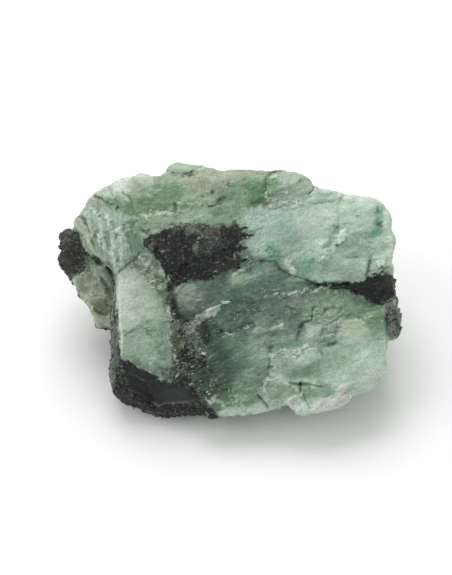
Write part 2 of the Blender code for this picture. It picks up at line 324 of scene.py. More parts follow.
# Oval patches in the same form.
FACE_PATCHES = (
    # the upper left plate
    ("frost", (11.8, 15.6), (2.3, 0.8), 4, 0.5, 0.75),
    ("frost", (-19.3, 10.4), (0.5, 0.4), 10, 0.3, 0.7),
    ("frost", (-22.7, 8.8), (0.35, 0.8), -10, 0.3, 0.7),
    ("fern", (-12.4, 16), (4.6, 2.5), 8, 0.5, 0.95),
    ("leaf", (-12.6, 15.4), (3.8, 1.6), 8, 0.7, 0.45),
    ("leaf", (-9.6, 17.6), (3.4, 1.3), 15, 0.6, 0.35),
    ("olive", (-13.6, 14), (3.4, 0.5), 8, 0.6, 0.35),
    ("khaki", (-3.8, 19), (4.6, 1.8), -8, 0.5, 0.8),
    ("khaki", (2.2, 20.2), (3.6, 0.8), -2, 0.5, 0.8),
    ("celadon", (-6.5, 12.9), (5, 1.5), 5, 0.6, 0.6),
    ("fern", (0.6, 15), (3.4, 2.6), 60, 0.6, 0.95),
    ("fern", (0, 12.6), (3.6, 1.3), 25, 0.6, 0.7),
    ("moss", (5.4, 15.1), (1.8, 0.8), 20, 0.6, 0.75),
    ("mist", (-10.2, 21.6), (1.7, 0.9), 35, 0.4, 0.9),
    ("mist", (-8.2, 21.9), (2.9, 0.65), -8, 0.4, 0.95),
    ("moss", (-6.8, 20.6), (1.7, 0.42), 8, 0.5, 0.75),
    ("frost", (-18.3, 18.6), (1.5, 1.3), 30, 0.5, 0.8),
    ("frost", (-15.2, 19.4), (2.2, 1.1), -5, 0.5, 0.7),
    ("khaki", (-16.4, 17.4), (1.4, 1), 40, 0.6, 0.6),
    ("mist", (12.4, 18.6), (3.6, 1.7), -10, 0.5, 0.8),
    ("moss", (8.6, 20.2), (1.2, 0.55), -8, 0.5, 0.85),
    ("moss", (7.2, 17.8), (0.5, 2.1), 2, 0.6, 0.85),
    ("leaf", (8.3, 17.6), (1.2, 2.2), 10, 0.6, 0.6),
    ("celadon", (10.6, 16.4), (2.2, 0.9), 8, 0.5, 0.8),
    # the left lobe
    ("aqua", (-20.6, 8.6), (1.3, 4.6), 5, 0.6, 0.9),
    ("aqua", (-18.6, 11.8), (2.4, 1.3), 20, 0.6, 0.7),
    ("aqua", (-23.2, 12.2), (1.6, 2.2), 0, 0.7, 0.5),
    ("fern", (-21.9, 8.4), (0.35, 4.2), 10, 0.7, 0.6),
    ("fern", (-19.6, 8), (0.3, 3.6), 6, 0.7, 0.55),
    ("fern", (-23.3, 10.6), (0.3, 3), 12, 0.7, 0.5),
    ("celadon", (-24.8, 12.4), (0.4, 2.6), 14, 0.7, 0.6),
    ("frost", (-22.6, 11.6), (0.35, 2.4), 10, 0.7, 0.6),
    ("frost", (-20.9, 6.6), (0.3, 2.2), 8, 0.7, 0.6),
    ("leaf", (-19.3, 14.8), (3.2, 1), -12, 0.6, 0.75),
    ("khaki", (-23.6, 15), (1.5, 1.1), 25, 0.6, 0.5),
    ("deep", (-16.3, 7.9), (1.7, 2.6), 0, 0.55, 0.65),
    ("leaf", (-16.6, 9.6), (1.5, 1.6), 0, 0.6, 0.6),
    ("khaki", (-26.2, 11.4), (1.4, 2.2), 20, 0.5, 0.8),
    ("khaki", (-24.6, 9.2), (1.2, 3), 14, 0.6, 0.5),
    ("celadon", (-22.5, 7), (0.7, 3), 12, 0.6, 0.6),
    ("celadon", (-18.3, 6.2), (0.6, 2.2), 0, 0.6, 0.6),
    ("frost", (-20.6, 17.4), (2.6, 0.7), 28, 0.5, 0.6),
    # the tab under the left lobe
    ("celadon", (-22.6, 2.8), (2.4, 1.8), 20, 0.6, 0.9),
    ("mist", (-22.7, 2.5), (1.5, 1.2), 20, 0.6, 0.9),
    ("moss", (-24.3, 4.6), (0.7, 1.6), 40, 0.6, 0.5),
    ("slate", (-21, 1), (0.9, 2.6), 10, 0.6, 0.6),
    ("sage", (-21.7, -1.4), (0.8, 2.4), 15, 0.5, 0.9),
    ("khaki", (-24.2, -1), (2.2, 2.6), 0, 0.4, 0.95),
    ("olive", (-22.9, -3.4), (2.4, 1.2), 10, 0.6, 0.8),
    ("khaki", (-22.6, -6.4), (2.2, 1.6), 10, 0.4, 0.95),
    ("frost", (-27.6, 0.8), (1, 1), 0, 0.6, 0.7),
    ("olive", (-25.9, 0.4), (0.8, 1.6), 30, 0.6, 0.7),
    ("rust", (-24, -3.6), (0.35, 0.95), 20, 0.7, 0.85),
    # the left facet
    ("frost", (-18.3, -2.2), (1.7, 5.2), 2, 0.6, 0.75),
    ("celadon", (-13.2, 0.4), (2.4, 1.6), -35, 0.6, 0.7),
    ("fern", (-11.8, -2.8), (1.2, 3), 8, 0.6, 0.55),
    ("fern", (-11.3, -10.6), (1.4, 3.6), 0, 0.6, 0.45),
    ("mist", (-16.2, -10.4), (2.2, 1.8), 10, 0.7, 0.65),
    ("slate", (-10.6, -15), (2.4, 0.9), -20, 0.6, 0.8),
    ("slate", (-14.6, -14.2), (2.6, 0.6), -28, 0.6, 0.6),
    # the grey lump and what lies round it
    ("ash", (-7.2, -1.4), (2.3, 2.4), 30, 0.4, 0.9),
    ("mist", (-6.4, -1), (1.7, 1.5), 30, 0.5, 0.3),
    ("mist", (-14, 3.9), (1.6, 1.5), 20, 0.4, 1),
    ("slate", (-3.9, -0.5), (1.1, 1.6), 0, 0.5, 0.9),
    ("slate", (-1.4, 0.6), (2, 1.3), 10, 0.5, 0.85),
    ("slate", (-4, -3.4), (1.6, 1), -20, 0.5, 0.85),
    # the black-green granular stretch below the lump
    ("moss", (-7.8, -5.4), (1.9, 1.4), 20, 0.5, 0.9),
    ("slate", (-5.8, -12.6), (3.4, 3.4), 20, 0.6, 0.8),
    ("slate", (-6.3, -8.6), (1.9, 3.2), 8, 0.6, 0.9),
    ("moss", (-3.9, -8.4), (1.2, 3.2), 8, 0.6, 0.8),
    ("deep", (-2.4, -8.8), (1.2, 4), 5, 0.7, 0.7),
    ("ash", (-6.3, -7.6), (1.2, 1), 10, 0.3, 0.85),
    ("ash", (-7.9, -9), (0.6, 0.9), 10, 0.4, 0.6),
    ("moss", (-8.8, -9.6), (0.7, 3.4), 0, 0.7, 0.7),
    ("moss", (-7, -13.2), (1.6, 1.6), 0, 0.7, 0.6),
    ("deep", (-6.8, -16.4), (3.2, 1.5), -20, 0.5, 0.9),
    ("deep", (-4.2, -18), (1.4, 2.6), 25, 0.5, 0.9),
    # the middle
    ("celadon", (2.5, 1.7), (1.8, 1.15), 22, 0.45, 0.95),
    ("aqua", (5.6, 2.2), (2.2, 1.3), 15, 0.6, 0.35),
    ("teal", (4.8, -0.8), (3.6, 1.4), 15, 0.6, 0.6),
    ("deep", (0.4, -3.2), (2, 1.2), 20, 0.7, 0.5),
    ("deep", (-1.4, -10.6), (1.5, 3.4), 10, 0.6, 0.7),
    ("deep", (-0.4, -13.6), (2.6, 2.6), 30, 0.6, 0.8),
    ("deep", (-3, -15.8), (1.9, 3.8), 10, 0.6, 0.9),
    ("fern", (3.2, -10.8), (2.4, 2.6), 20, 0.7, 0.6),
    ("teal", (1.2, -6.2), (3.4, 1.2), 18, 0.6, 0.5),
    ("celadon", (5.8, -9.3), (1.7, 3.6), -8, 0.6, 0.95),
    ("celadon", (5.8, -13.8), (1.2, 2.2), -15, 0.7, 0.45),
    ("deep", (6.6, -15.6), (1.6, 1.8), 20, 0.7, 0.55),
    ("deep", (5, -17.6), (1.4, 1.2), 0, 0.7, 0.5),
    # the next two patches are painted shade below the long ledge
    ("deep", (9.8, 3.2), (2, 0.9), -28, 0.6, 0.6),
    ("deep", (14.6, 0.2), (1.8, 0.6), -15, 0.6, 0.75),
    ("ash", (13, -2.4), (3, 0.9), 3, 0.5, 0.85),
    ("teal", (8.6, 1), (2.4, 1.3), -15, 0.6, 0.6),
    ("celadon", (9.8, -8.6), (2.4, 2.2), 0, 0.6, 0.65),
    ("leaf", (11.6, -10.2), (2.2, 0.9), 12, 0.6, 0.6),
    ("slate", (11.4, -4.6), (2.2, 1.2), 0, 0.6, 0.5),
    # the speckled green foot of the middle
    ("moss", (-0.9, -17.4), (1.9, 2.2), -20, 0.6, 0.8),
    ("leaf", (2.8, -20), (3.4, 1.6), 0, 0.6, 0.75),
    ("celadon", (2.4, -20.6), (2.4, 1.1), 5, 0.6, 0.55),
    ("fern", (3.8, -17.6), (2, 1.4), 0, 0.6, 0.5),
    ("frost", (3.4, -22.3), (4.8, 0.85), 3, 0.4, 0.95),
    ("pearl", (7.6, -20.6), (1.7, 0.9), 40, 0.5, 0.5),
    # the upper right face
    ("aqua", (8.8, 11.8), (4.6, 2), -12, 0.6, 0.8),
    ("aqua", (11.4, 9.2), (3.6, 2.4), -10, 0.6, 0.85),
    ("aqua", (6, 9.4), (2.6, 1.8), 10, 0.6, 0.8),
    ("frost", (16.6, 12.2), (3.6, 2.2), 30, 0.7, 0.7),
    ("mint", (17.4, 8.4), (2.6, 2.4), 20, 0.7, 0.5),
    ("celadon", (12.2, 7), (2.6, 1.8), 10, 0.7, 0.6),
    ("celadon", (18, 3.6), (3.4, 1.8), 0, 0.6, 0.75),
    ("emerald", (8.7, 6), (1.6, 1.6), 20, 0.55, 0.65),
    ("emerald", (9.6, 4.7), (1.6, 0.7), -20, 0.6, 0.6),
    ("emerald", (14, 3.8), (2.4, 1.7), 20, 0.6, 0.7),
    ("mist", (11.8, 3.9), (0.6, 1.6), 10, 0.5, 0.7),
    ("celadon", (22.6, 7.2), (3, 2.2), 10, 0.7, 0.7),
    ("fern", (22, 8.2), (2.4, 1), 30, 0.7, 0.5),
    ("fern", (25.6, 5.4), (0.6, 1.6), -5, 0.6, 0.6),
    ("emerald", (27.1, 12.4), (0.8, 2), 0, 0.6, 0.8),
    ("fern", (27.5, 15.4), (0.5, 1.5), 0, 0.7, 0.6),
    # painted shadow on the lower right of the upper right face, in the grey ash tone
    ("ash", (22.8, 2.4), (2.4, 1.3), 0, 0.7, 0.55),
    ("emerald", (26.5, 9.6), (1.5, 0.8), 15, 0.6, 0.85),
    ("fern", (24.2, 9.4), (1.6, 0.5), 5, 0.7, 0.6),
    ("frost", (29.4, 11.4), (1, 3.6), 4, 0.5, 0.35),
    ("frost", (29.8, 6.8), (0.8, 2.6), 0, 0.5, 0.5),
    ("frost", (24.4, 16.1), (4.6, 0.8), -12, 0.5, 0.8),
    ("frost", (22, 14.4), (2.4, 0.6), 12, 0.6, 0.5),
    ("olive", (28, 3), (2.4, 0.8), 0, 0.6, 0.6),
    # the right middle
    ("celadon", (19.5, -3), (4, 1.4), 5, 0.6, 0.55),
    ("mist", (18.2, -6.2), (3, 2), 10, 0.6, 0.7),
    ("frost", (15.4, -8.2), (1.6, 1.4), 0, 0.6, 0.6),
    ("deep", (24.4, -2), (3.4, 1), -20, 0.7, 0.6),
    ("ash", (23.2, -1.4), (1.6, 0.4), -25, 0.6, 0.6),
    ("fern", (26.8, -6.2), (1.6, 2.4), 0, 0.6, 0.65),
    ("fern", (18.4, -9.8), (2.6, 1.1), 10, 0.6, 0.8),
    ("fern", (21.4, -4.6), (3, 0.7), 8, 0.7, 0.5),
    # the lower right
    ("frost", (12.4, -12.9), (2.8, 0.6), 18, 0.6, 0.6),
    ("celadon", (10, -13.8), (2.2, 1.3), 10, 0.6, 1),
    ("frost", (10.2, -16.6), (2, 0.7), -10, 0.6, 0.5),
    ("fern", (13.4, -15.4), (2.4, 1.2), 15, 0.6, 0.95),
    ("fern", (16.4, -15.2), (1.6, 1.6), 30, 0.6, 0.7),
    ("leaf", (14.6, -18.9), (2.2, 1.1), -15, 0.6, 0.7),
    ("fern", (17.6, -18.2), (1.8, 1.2), 20, 0.6, 0.6),
    ("sage", (9.4, -18.4), (2.8, 1.8), -20, 0.6, 0.7),
    ("pearl", (12.4, -21.4), (2, 1.2), -30, 0.5, 0.9),
    ("celadon", (19.6, -13.2), (3.2, 2.2), 20, 0.6, 0.75),
    ("fern", (22.6, -12.2), (1.6, 1), 40, 0.7, 0.4),
    ("frost", (26.2, -16), (2.2, 1.8), 40, 0.6, 0.6),
    ("blush", (21.6, -7.8), (1.4, 1.5), 10, 0.8, 0.25),
    ("pale", (24, -8.2), (1.4, 1.2), 10, 0.8, 0.3),
    ("frost", (28, -12.6), (0.6, 3.6), 0, 0.6, 0.6),
)

# Cracks and ledges that are both painted and cut: their lines (u, v).
TAB_SIDE = ((-22.3, 1.6), (-21.4, 0.2), (-20.7, -1.8))
TAB_FOOT = ((-24.2, -3.2), (-23.2, -4.4), (-21.8, -4.7), (-20.7, -4.3))
LOBE_TOP = ((-18.6, 17.2), (-17.6, 16.4), (-17, 15.4), (-16.8, 14.4))
LOBE_RIM = ((-23.7, 16.4), (-22.7, 16), (-22, 15.4), (-21.1, 15.1))
CAP_END = ((14.6, 19.9), (15.5, 19.1), (15.9, 18.3), (15.7, 17.5), (15, 17.1))
CAP_FOOT = ((15, 15.4), (16.4, 15.1), (18.2, 15.4), (20.1, 15.4), (21.4, 16.8))
CAP_STEP = ((20.1, 15.2), (20.2, 12.8), (20, 9.8))
LONG_LEDGE = ((6.4, 4.7), (8.8, 4.6), (9.9, 3.2), (12.2, 2.1), (14, 1.6), (16.4, 0.5))
RIGHT_NICK = ((25.2, 1.8), (25.6, 3.2), (25.9, 5))
RIGHT_DASH = ((21.9, 5.4), (22.6, 5.3), (23.6, 5.4))
MIDDLE_CRACK = ((13.8, -6.8), (13, -8.4), (12.8, -9.8))
FOOT_CRACK = ((13.9, -19.2), (14.4, -20.4), (14.9, -21.8))

# Bands: tone, half width at each end, softness, strength, line (u, v).
FACE_BANDS = (
    ("olive", (0.6, 0.9), 0.6, 0.6, ((-16.4, 4.4), (-14.6, 2.7), (-12.6, 1), (-11, -1.6), (-9.8, -5))),
    ("moss", (0.5, 0.9), 0.5, 0.9, ((-12.4, 2), (-10.8, 0.8), (-9.8, -1.4), (-9, -4.4))),
    # painted shadow line where the left lobe overhangs the left facet
    ("night", (0.2, 0.16), 0.3, 0.75, ((-20.3, 1.2), (-19.9, 2.2), (-18.9, 3.2), (-17.6, 4.2), (-16.2, 5.2),
        (-15.4, 6.4))),
    ("leaf", (0.6, 0.5), 0.5, 0.6, ((-18, 4.8), (-16.8, 6), (-15.4, 7.4))),
    ("moss", (0.8, 0.5), 0.7, 0.8, ((-10.2, -2.6), (-9.4, -4.8), (-8.2, -6))),
    ("moss", (0.6, 0.45), 0.7, 0.8, ((-9.5, -5.6), (-9.2, -9.5), (-9, -14.2))),
    ("fern", (0.4, 0.3), 0.5, 0.8, ((-18.6, -8.6), (-16.6, -7.6), (-14.6, -6.2), (-12.6, -5.8),
        (-10.4, -6.6))),
    ("night", (0.5, 0.35), 0.5, 0.76, ((-9.4, -2.6), (-9, -4.6), (-8, -5.4))),
    ("frost", (0.16, 0.22), 0.25, 0.95, ((-19.7, 1.2), (-19.3, -4), (-18.8, -9), (-18.8, -12.6))),
    # painted shadow line under the overhanging foot of the left lobe
    ("night", (0.45, 0.3), 0.45, 0.76, ((-24.2, 5.4), (-22.6, 4.2), (-21.4, 4.2), (-20.5, 2.6),
        (-20.1, 1.4), (-20.2, -1.2), (-20.1, -3.4))),
    ("moss", (0.3, 0.5), 0.5, 0.45, TAB_SIDE),
    ("moss", (0.35, 0.35), 0.4, 0.49, TAB_FOOT),
    ("moss", (0.14, 0.14), 0.25, 0.35, ((-10.7, 21.1), (-9.2, 20.8), (-7.4, 20.9), (-5.4, 21.1))),
    ("moss", (0.16, 0.12), 0.2, 0.45, LOBE_TOP),
    ("night", (0.22, 0.12), 0.2, 0.52, LOBE_RIM),
    ("night", (0.26, 0.16), 0.25, 0.8, CAP_END),
    ("celadon", (0.14, 0.14), 0.18, 0.6, CAP_FOOT),
    ("celadon", (0.12, 0.1), 0.2, 0.5, CAP_STEP),
    # the next two bands are painted shadow under the long ledge of the upper right face, laid over its cut
    # groove
    ("night", (0.35, 0.5), 0.5, 0.45, LONG_LEDGE),
    ("night", (0.45, 0.6), 0.4, 0.9, ((15, 0.9), (17, 0.4), (19.4, 0.4), (22, 0.7))),
    ("night", (0.35, 0.2), 0.35, 0.59, RIGHT_NICK),
    ("night", (0.3, 0.25), 0.3, 0.45, ((3.6, 10.1), (4.4, 10.2), (5.1, 10.1))),
    ("moss", (0.3, 0.3), 0.4, 0.45, ((3.2, 8.4), (3.4, 6.6), (4.8, 5.2), (6.6, 4.8))),
    ("moss", (0.2, 0.14), 0.3, 0.45, MIDDLE_CRACK),
    ("moss", (0.16, 0.2), 0.25, 0.42, ((7.8, -11.4), (8.5, -11.9), (10.4, -11.5), (12.5, -11.8),
        (14, -10.4))),
    ("moss", (0.14, 0.14), 0.25, 0.33, ((14, -10.4), (16.2, -11.3), (18.4, -10.4), (21, -10.2))),
    ("moss", (0.14, 0.14), 0.25, 0.36, FOOT_CRACK),
    ("moss", (0.2, 0.2), 0.2, 0.39, RIGHT_DASH),
    ("moss", (0.25, 0.4), 0.4, 0.52, ((-9.3, 15.1), (-9, 14.2), (-9.1, 13.2), (-8.6, 12.8))),
    ("moss", (0.5, 0.3), 0.4, 0.66, ((8, -11), (8, -13.4), (7.4, -15.8))),
    ("moss", (0.3, 0.25), 0.35, 0.39, ((5.4, -9), (7.4, -8.2), (9.6, -8.6), (11.6, -8.4))),
    ("pearl", (0.25, 0.25), 0.25, 0.8, ((-1.2, -22.5), (1.5, -22.8), (4.5, -22.5), (7.6, -21.9),
        (10.8, -20.8))),
    ("frost", (0.5, 0.25), 0.4, 0.75, ((-19.8, 18.6), (-17.4, 19.9), (-15.2, 20.6), (-13.4, 19.9))),
    ("fern", (0.3, 0.25), 0.3, 0.8, ((-24, 14.6), (-23.9, 11), (-23.2, 8.2), (-22.4, 6.2))),
    ("teal", (0.35, 0.3), 0.35, 0.6, ((-21.3, 10.4), (-21.2, 8), (-20.9, 5.6))),
    ("fern", (0.22, 0.18), 0.25, 0.8, ((-19.8, 9.6), (-19.5, 7.4), (-19.4, 5))),
    ("fern", (0.2, 0.16), 0.25, 0.7, ((-18.4, 11.2), (-18, 8.6), (-17.8, 6.4))),
    ("frost", (0.2, 0.16), 0.2, 0.85, ((-22.6, 12.4), (-22.5, 10), (-21.9, 7))),
    ("frost", (0.18, 0.14), 0.2, 0.75, ((-20.5, 9.4), (-20.3, 6.8), (-20.2, 4.8))),
    ("frost", (0.16, 0.14), 0.2, 0.65, ((-18.9, 9), (-18.7, 6.6), (-18.9, 4.6))),
)

# Pale ledges, fresh chips and painted glints: half width at each end, line (u, v).
PALE_LINES_AND_GLINTS = (
    ((0.22, 0.18), ((-13, 10.3), (-11.4, 10.4), (-9.5, 11))),
    ((0.1, 0.14), ((-12.6, 13.3), (-11.4, 13.3), (-10.8, 13.6))),
    ((0.12, 0.1), ((-16.9, 12.2), (-16.2, 12.8), (-15.6, 12.8))),
    ((0.1, 0.14), ((-14.6, 12.8), (-14, 12.2), (-13.7, 12.2))),
    ((0.15, 0.1), ((-8.8, 15), (-8.2, 15.3))),
    ((0.16, 0.1), ((-14.4, 16.7), (-13.6, 16.5))),
    ((0.12, 0.1), ((-4.4, 15.6), (-3.8, 15.8))),
    ((0.16, 0.1), ((4.3, 14.2), (4.8, 14.2))),
    ((0.12, 0.12), ((5.5, 14.5), (6, 14.6))),
    ((0.14, 0.1), ((7.9, 14.3), (8.3, 14.6))),
    ((0.16, 0.24), ((7.9, 19.6), (8.8, 19.6))),
    ((0.16, 0.1), ((10.3, 17), (11.2, 17.2))),
    ((0.12, 0.2), ((9.4, 15.2), (11.6, 15.3), (13.8, 15.4))),
    ((0.16, 0.22), ((11.4, 14.4), (12.6, 14.5), (13.2, 14.9))),
    ((0.12, 0.12), ((11.9, 13.4), (12.1, 13.8))),
    ((0.14, 0.14), ((12.4, 12.2), (12.9, 12.1))),
    ((0.16, 0.2), ((6.3, 10.3), (6.9, 10.5))),
    ((0.08, 0.14), ((5.1, 7.2), (6, 7.5), (6.8, 7.6))),
    ((0.1, 0.14), ((13.9, 8.4), (14.6, 8.2))),
    ((0.16, 0.16), ((21.4, 14), (22, 14.1))),
    ((0.12, 0.12), ((24.2, 15.8), (24.6, 16))),
    ((0.16, 0.16), ((26.4, 7.6), (26.8, 7.7), (27.3, 7.4))),
    ((0.16, 0.12), ((24.2, 4.2), (24.9, 4.4))),
    ((0.14, 0.14), ((27.2, 4.6), (27.4, 3.8))),
    ((0.14, 0.1), ((28.2, 2.4), (28.3, 2.9))),
    ((0.12, 0.12), ((29.5, 3.5), (29.7, 3.2))),
    ((0.08, 0.12), ((10.2, -1), (11.4, -1.1), (12.6, -1.2))),
    ((0.14, 0.16), ((12.6, -0.9), (12.7, -1.4))),
    ((0.1, 0.12), ((13.3, -0.8), (14.2, -0.6))),
    ((0.14, 0.1), ((15.6, -0.7), (16.4, -0.5), (17.4, 0))),
    ((0.16, 0.16), ((8.7, -0.9), (9.1, -0.9))),
    ((0.16, 0.1), ((18.4, 0.3), (18.8, -0.1))),
    ((0.1, 0.1), ((0, -8.4), (0.9, -8.6), (1.8, -8.1))),
    ((0.14, 0.1), ((3.4, -7.4), (4, -7.3))),
    ((0.14, 0.22), ((10.8, -12.7), (12.2, -12.5), (13, -12.2))),
    ((0.16, 0.12), ((14, -10.6), (14.6, -10.9), (16.3, -11.1))),
    ((0.1, 0.12), ((16.6, -13), (17.3, -12), (17.6, -11.6))),
    ((0.1, 0.14), ((25, -5.7), (25.6, -5.4), (26.1, -5.2))),
    ((0.16, 0.12), ((7.8, -12.2), (8.2, -12.6), (8.6, -12.1))),
    ((0.18, 0.14), ((8.3, -13.8), (8.9, -14.2), (8.4, -14.8))),
    ((0.14, 0.14), ((8.8, -15.4), (8.5, -16))),
    ((0.2, 0.1), ((-9.4, -12.3), (-9, -13.2), (-8.8, -13.9))),
    ((0.3, 0.2), ((-8.8, -15.7), (-8.3, -15.7))),
    ((0.2, 0.14), ((-6.5, -17.2), (-5.9, -17.5))),
    ((0.1, 0.08), ((-10.4, -3.4), (-10.3, -4.6), (-10, -5.6), (-10.5, -5.2))),
    ((0.1, 0.1), ((-15.9, -2), (-15.4, -2.4), (-14.9, -1.9))),
    ((0.08, 0.08), ((-13.6, -13.6), (-13, -14))),
    ((0.16, 0.12), ((1.8, -19.2), (2.2, -19.2))),
    ((0.2, 0.16), ((-0.6, -21.2), (0, -21.2))),
    ((0.1, 0.16), ((2.8, -21.4), (3.2, -21.2))),
    ((0.14, 0.1), ((16.4, 6.2), (17.2, 6.8), (18.2, 7))),
    ((0.08, 0.08), ((-5.2, 8.4), (-4.6, 9.2))),
    ((0.12, 0.08), ((-8.4, 9), (-8.2, 8.2))),
    ((0.1, 0.08), ((-11.4, 6.4), (-10.6, 6.6))),
    ((0.12, 0.06), ((1.6, 6.2), (1.5, 5))),
    ((0.1, 0.1), ((-2, 3), (-1.4, 3))),
)

# Dark specks of mica caught in the green: middle (u, v), half length and half width, turn.
FACE_SPECKS = (
    ((0.4, 18.6), (0.32, 0.24), 0), ((0.9, 18.2), (0.5, 0.12), 0), ((-2.6, 17.1), (0.36, 0.26), 60),
    ((-4.2, 16.6), (0.2, 0.2), 0), ((-0.7, 16.1), (0.85, 0.3), 10), ((-1.2, 15.6), (0.5, 0.16), 8),
    ((-2.6, 14.6), (0.55, 0.2), 15), ((-1.6, 14.9), (0.7, 0.14), 8), ((-8.8, 15.1), (0.2, 0.2), 0),
    ((-20.4, 14.8), (0.32, 0.2), 10), ((-19.6, 14.4), (0.3, 0.2), 60), ((-22.7, 12.9), (0.26, 0.22), 0),
    ((-12.9, 13.3), (0.25, 0.3), 0), ((27.6, 11.2), (0.5, 0.34), -30), ((28.1, 11.7), (0.3, 0.2), 30),
    ((27.2, 14.2), (0.14, 0.5), 0), ((20, 7.4), (0.3, 0.3), 0), ((15.6, 4.9), (0.16, 0.16), 0),
    ((15.9, 7.2), (0.16, 0.16), 0), ((12, -11.7), (0.16, 0.14), 0), ((23.8, 13), (0.3, 0.1), 0),
    ((-7.4, 20.7), (0.3, 0.18), 0), ((-6.4, 20.5), (0.4, 0.14), 10), ((8.5, 20.4), (0.5, 0.2), -8),
    ((13.2, 18.9), (0.2, 0.16), 0), ((11.2, -3.6), (0.8, 0.14), -3), ((8.3, -5), (0.3, 0.14), 0),
    ((19, -10), (0.8, 0.26), 10), ((21.6, -18.9), (0.5, 0.14), 40), ((-0.4, 10.9), (0.5, 0.3), 0),
    ((1.5, 11.6), (0.4, 0.3), 50), ((25, 7.8), (0.3, 0.1), 20), ((-7.8, 0.2), (0.16, 0.16), 0),
)

# Schist on the face: tone, how ragged its border is from 0 to 1, outline (u, v).
SCHIST_OUTLINES = (
    ("soot", 0.8, ((-14.8, 8.6), (-13.4, 9.7), (-10.2, 10.5), (-8.2, 11.1), (-4.2, 11.1), (-1.2, 10.8),
        (0.6, 11.1), (2, 11.3), (2.9, 10.1), (2.5, 8.2), (1.9, 6.6), (2.9, 5.2), (2, 3.6), (-0.2, 2.7),
        (-2.6, 1.9), (-5.4, 1.4), (-7.4, 1.1), (-8.8, 0.3), (-10.2, -0.9), (-10.4, 0.9), (-11.2, 2.9),
        (-12.3, 5), (-13.4, 6.4), (-14.9, 7))),
    ("umber", 0.8, ((-31.5, 9.8), (-28.6, 10.9), (-26.9, 10.2), (-26, 8.3), (-25.1, 6.6), (-24.9, 4.2),
        (-25.6, 3), (-26.9, 2.2), (-28.4, 1.2), (-30.4, 2), (-32, 5.5))),
    ("jet", 0.35, ((-19.4, -12.4), (-17.5, -13.3), (-15, -14.6), (-13, -15.6), (-11.5, -16.6),
        (-9.3, -16.6), (-7, -17), (-5.8, -18.4), (-4.9, -19.8), (-3.6, -20.8), (-2.6, -21.8), (-1.4, -22.6),
        (-1.2, -23.8), (-7, -25.6), (-13, -26), (-20, -26), (-23.5, -20), (-23.5, -12), (-21, -11))),
    ("jet", 0.5, ((17.2, 0.7), (20, 0.6), (22.4, 0.9), (24.6, 1.3), (26.2, 2.1), (28, 2.7), (29.7, 2.3),
        (31.5, 0.6), (31.4, -1.2), (29.6, -2.2), (28.5, -3.1), (27, -3), (25.8, -2.2), (24.2, -1.7),
        (22.7, -1), (21.4, -0.4), (18.4, -0.1))),
    ("loam", 0.6, ((28.5, -3.6), (30, -3), (31.5, -4.8), (32.4, -6.6), (32, -8.5), (30.6, -8.8),
        (29.2, -8.7), (28.6, -6.4))),
    ("slate", 0.25, ((-20.9, -3.4), (-20.2, -2.6), (-19.7, -4.4), (-19.3, -8), (-19, -11), (-18.9, -13.4),
        (-20.4, -13.6), (-20.9, -10.5), (-20.8, -6.5))),
)

# Tones inside the schist: tone, middle (u, v), half length and half width, turn, softness, strength.
SCHIST_PATCHES = (
    ("loam", (-4.6, 10.5), (5, 0.9), 0, 0.5, 0.95),
    ("plum", (-2.9, 7.7), (2.6, 1.3), 8, 0.4, 0.9),
    ("ash", (-5.1, 7.2), (0.6, 1.3), 0, 0.5, 0.6),
    ("umber", (0.6, 9.6), (2.2, 1.6), 0, 0.7, 0.6),
    ("umber", (-12.4, 8.4), (1.8, 1.4), 20, 0.7, 0.45),
    ("jet", (-8.2, 4.2), (3.4, 2.4), 0, 0.6, 0.7),
    ("umber", (-0.6, 4.4), (2.4, 1.6), 10, 0.7, 0.5),
    ("ash", (-20.2, -9.4), (0.6, 3.2), 0, 0.5, 0.7),
    ("soot", (-20, -4.6), (0.6, 1.4), 0, 0.6, 0.8),
    ("soot", (-19.2, -10.4), (0.3, 2.6), 4, 0.6, 0.6),
    ("ash", (-21, -16.6), (0.9, 3), 0, 0.5, 0.9),
    ("loam", (-20.2, -19.4), (1, 0.8), -40, 0.5, 0.8),
    ("umber", (-18.2, -21.6), (1.6, 0.8), -35, 0.6, 0.8),
    ("loam", (-19, -20.4), (0.9, 0.5), -40, 0.5, 0.7),
    ("loam", (-16.2, -23), (1.6, 0.4), -25, 0.5, 0.6),
    ("loam", (-11.4, -24), (1.8, 0.4), -5, 0.5, 0.5),
    ("ash", (-19.9, -12.4), (0.6, 1.4), 10, 0.6, 0.7),
    ("umber", (-19.1, -14.8), (0.5, 1.4), 8, 0.7, 0.8),
    ("umber", (-16.6, -21.2), (5.2, 0.9), -28, 0.6, 0.7),
    ("night", (-14.6, -20.9), (3.6, 0.3), -26, 0.6, 0.7),
    ("umber", (-5.6, -20.6), (2.6, 0.6), -4, 0.6, 0.8),
    ("plum", (-8.6, -19), (2.4, 1.4), 0, 0.7, 0.35),
    ("khaki", (30.4, -6.6), (1.5, 2.6), 6, 0.6, 0.85),
    ("umber", (29, -6), (0.3, 2), 0, 0.5, 0.6),
    ("ash", (30.7, -6.6), (0.6, 1.8), 10, 0.5, 0.8),
    ("loam", (-12.6, 7.6), (1.6, 1), 20, 0.6, 0.5),
    ("ash", (-13.3, 7.4), (0.5, 0.4), 30, 0.5, 0.7),
    ("ash", (-11.4, 6.4), (0.45, 0.35), -20, 0.5, 0.6),
    ("ash", (-11.9, 8.6), (0.35, 0.3), 0, 0.5, 0.6),
    ("ash", (30.2, -4), (0.5, 1.8), 5, 0.6, 0.6),
    ("umber", (29.4, 1.2), (1.2, 1.4), 0, 0.7, 0.6),
    ("umber", (-27.8, 8.6), (2.2, 1.2), 20, 0.7, 0.4),
    ("night", (-27.2, 6), (1.6, 2.2), 0, 0.7, 0.7),
)

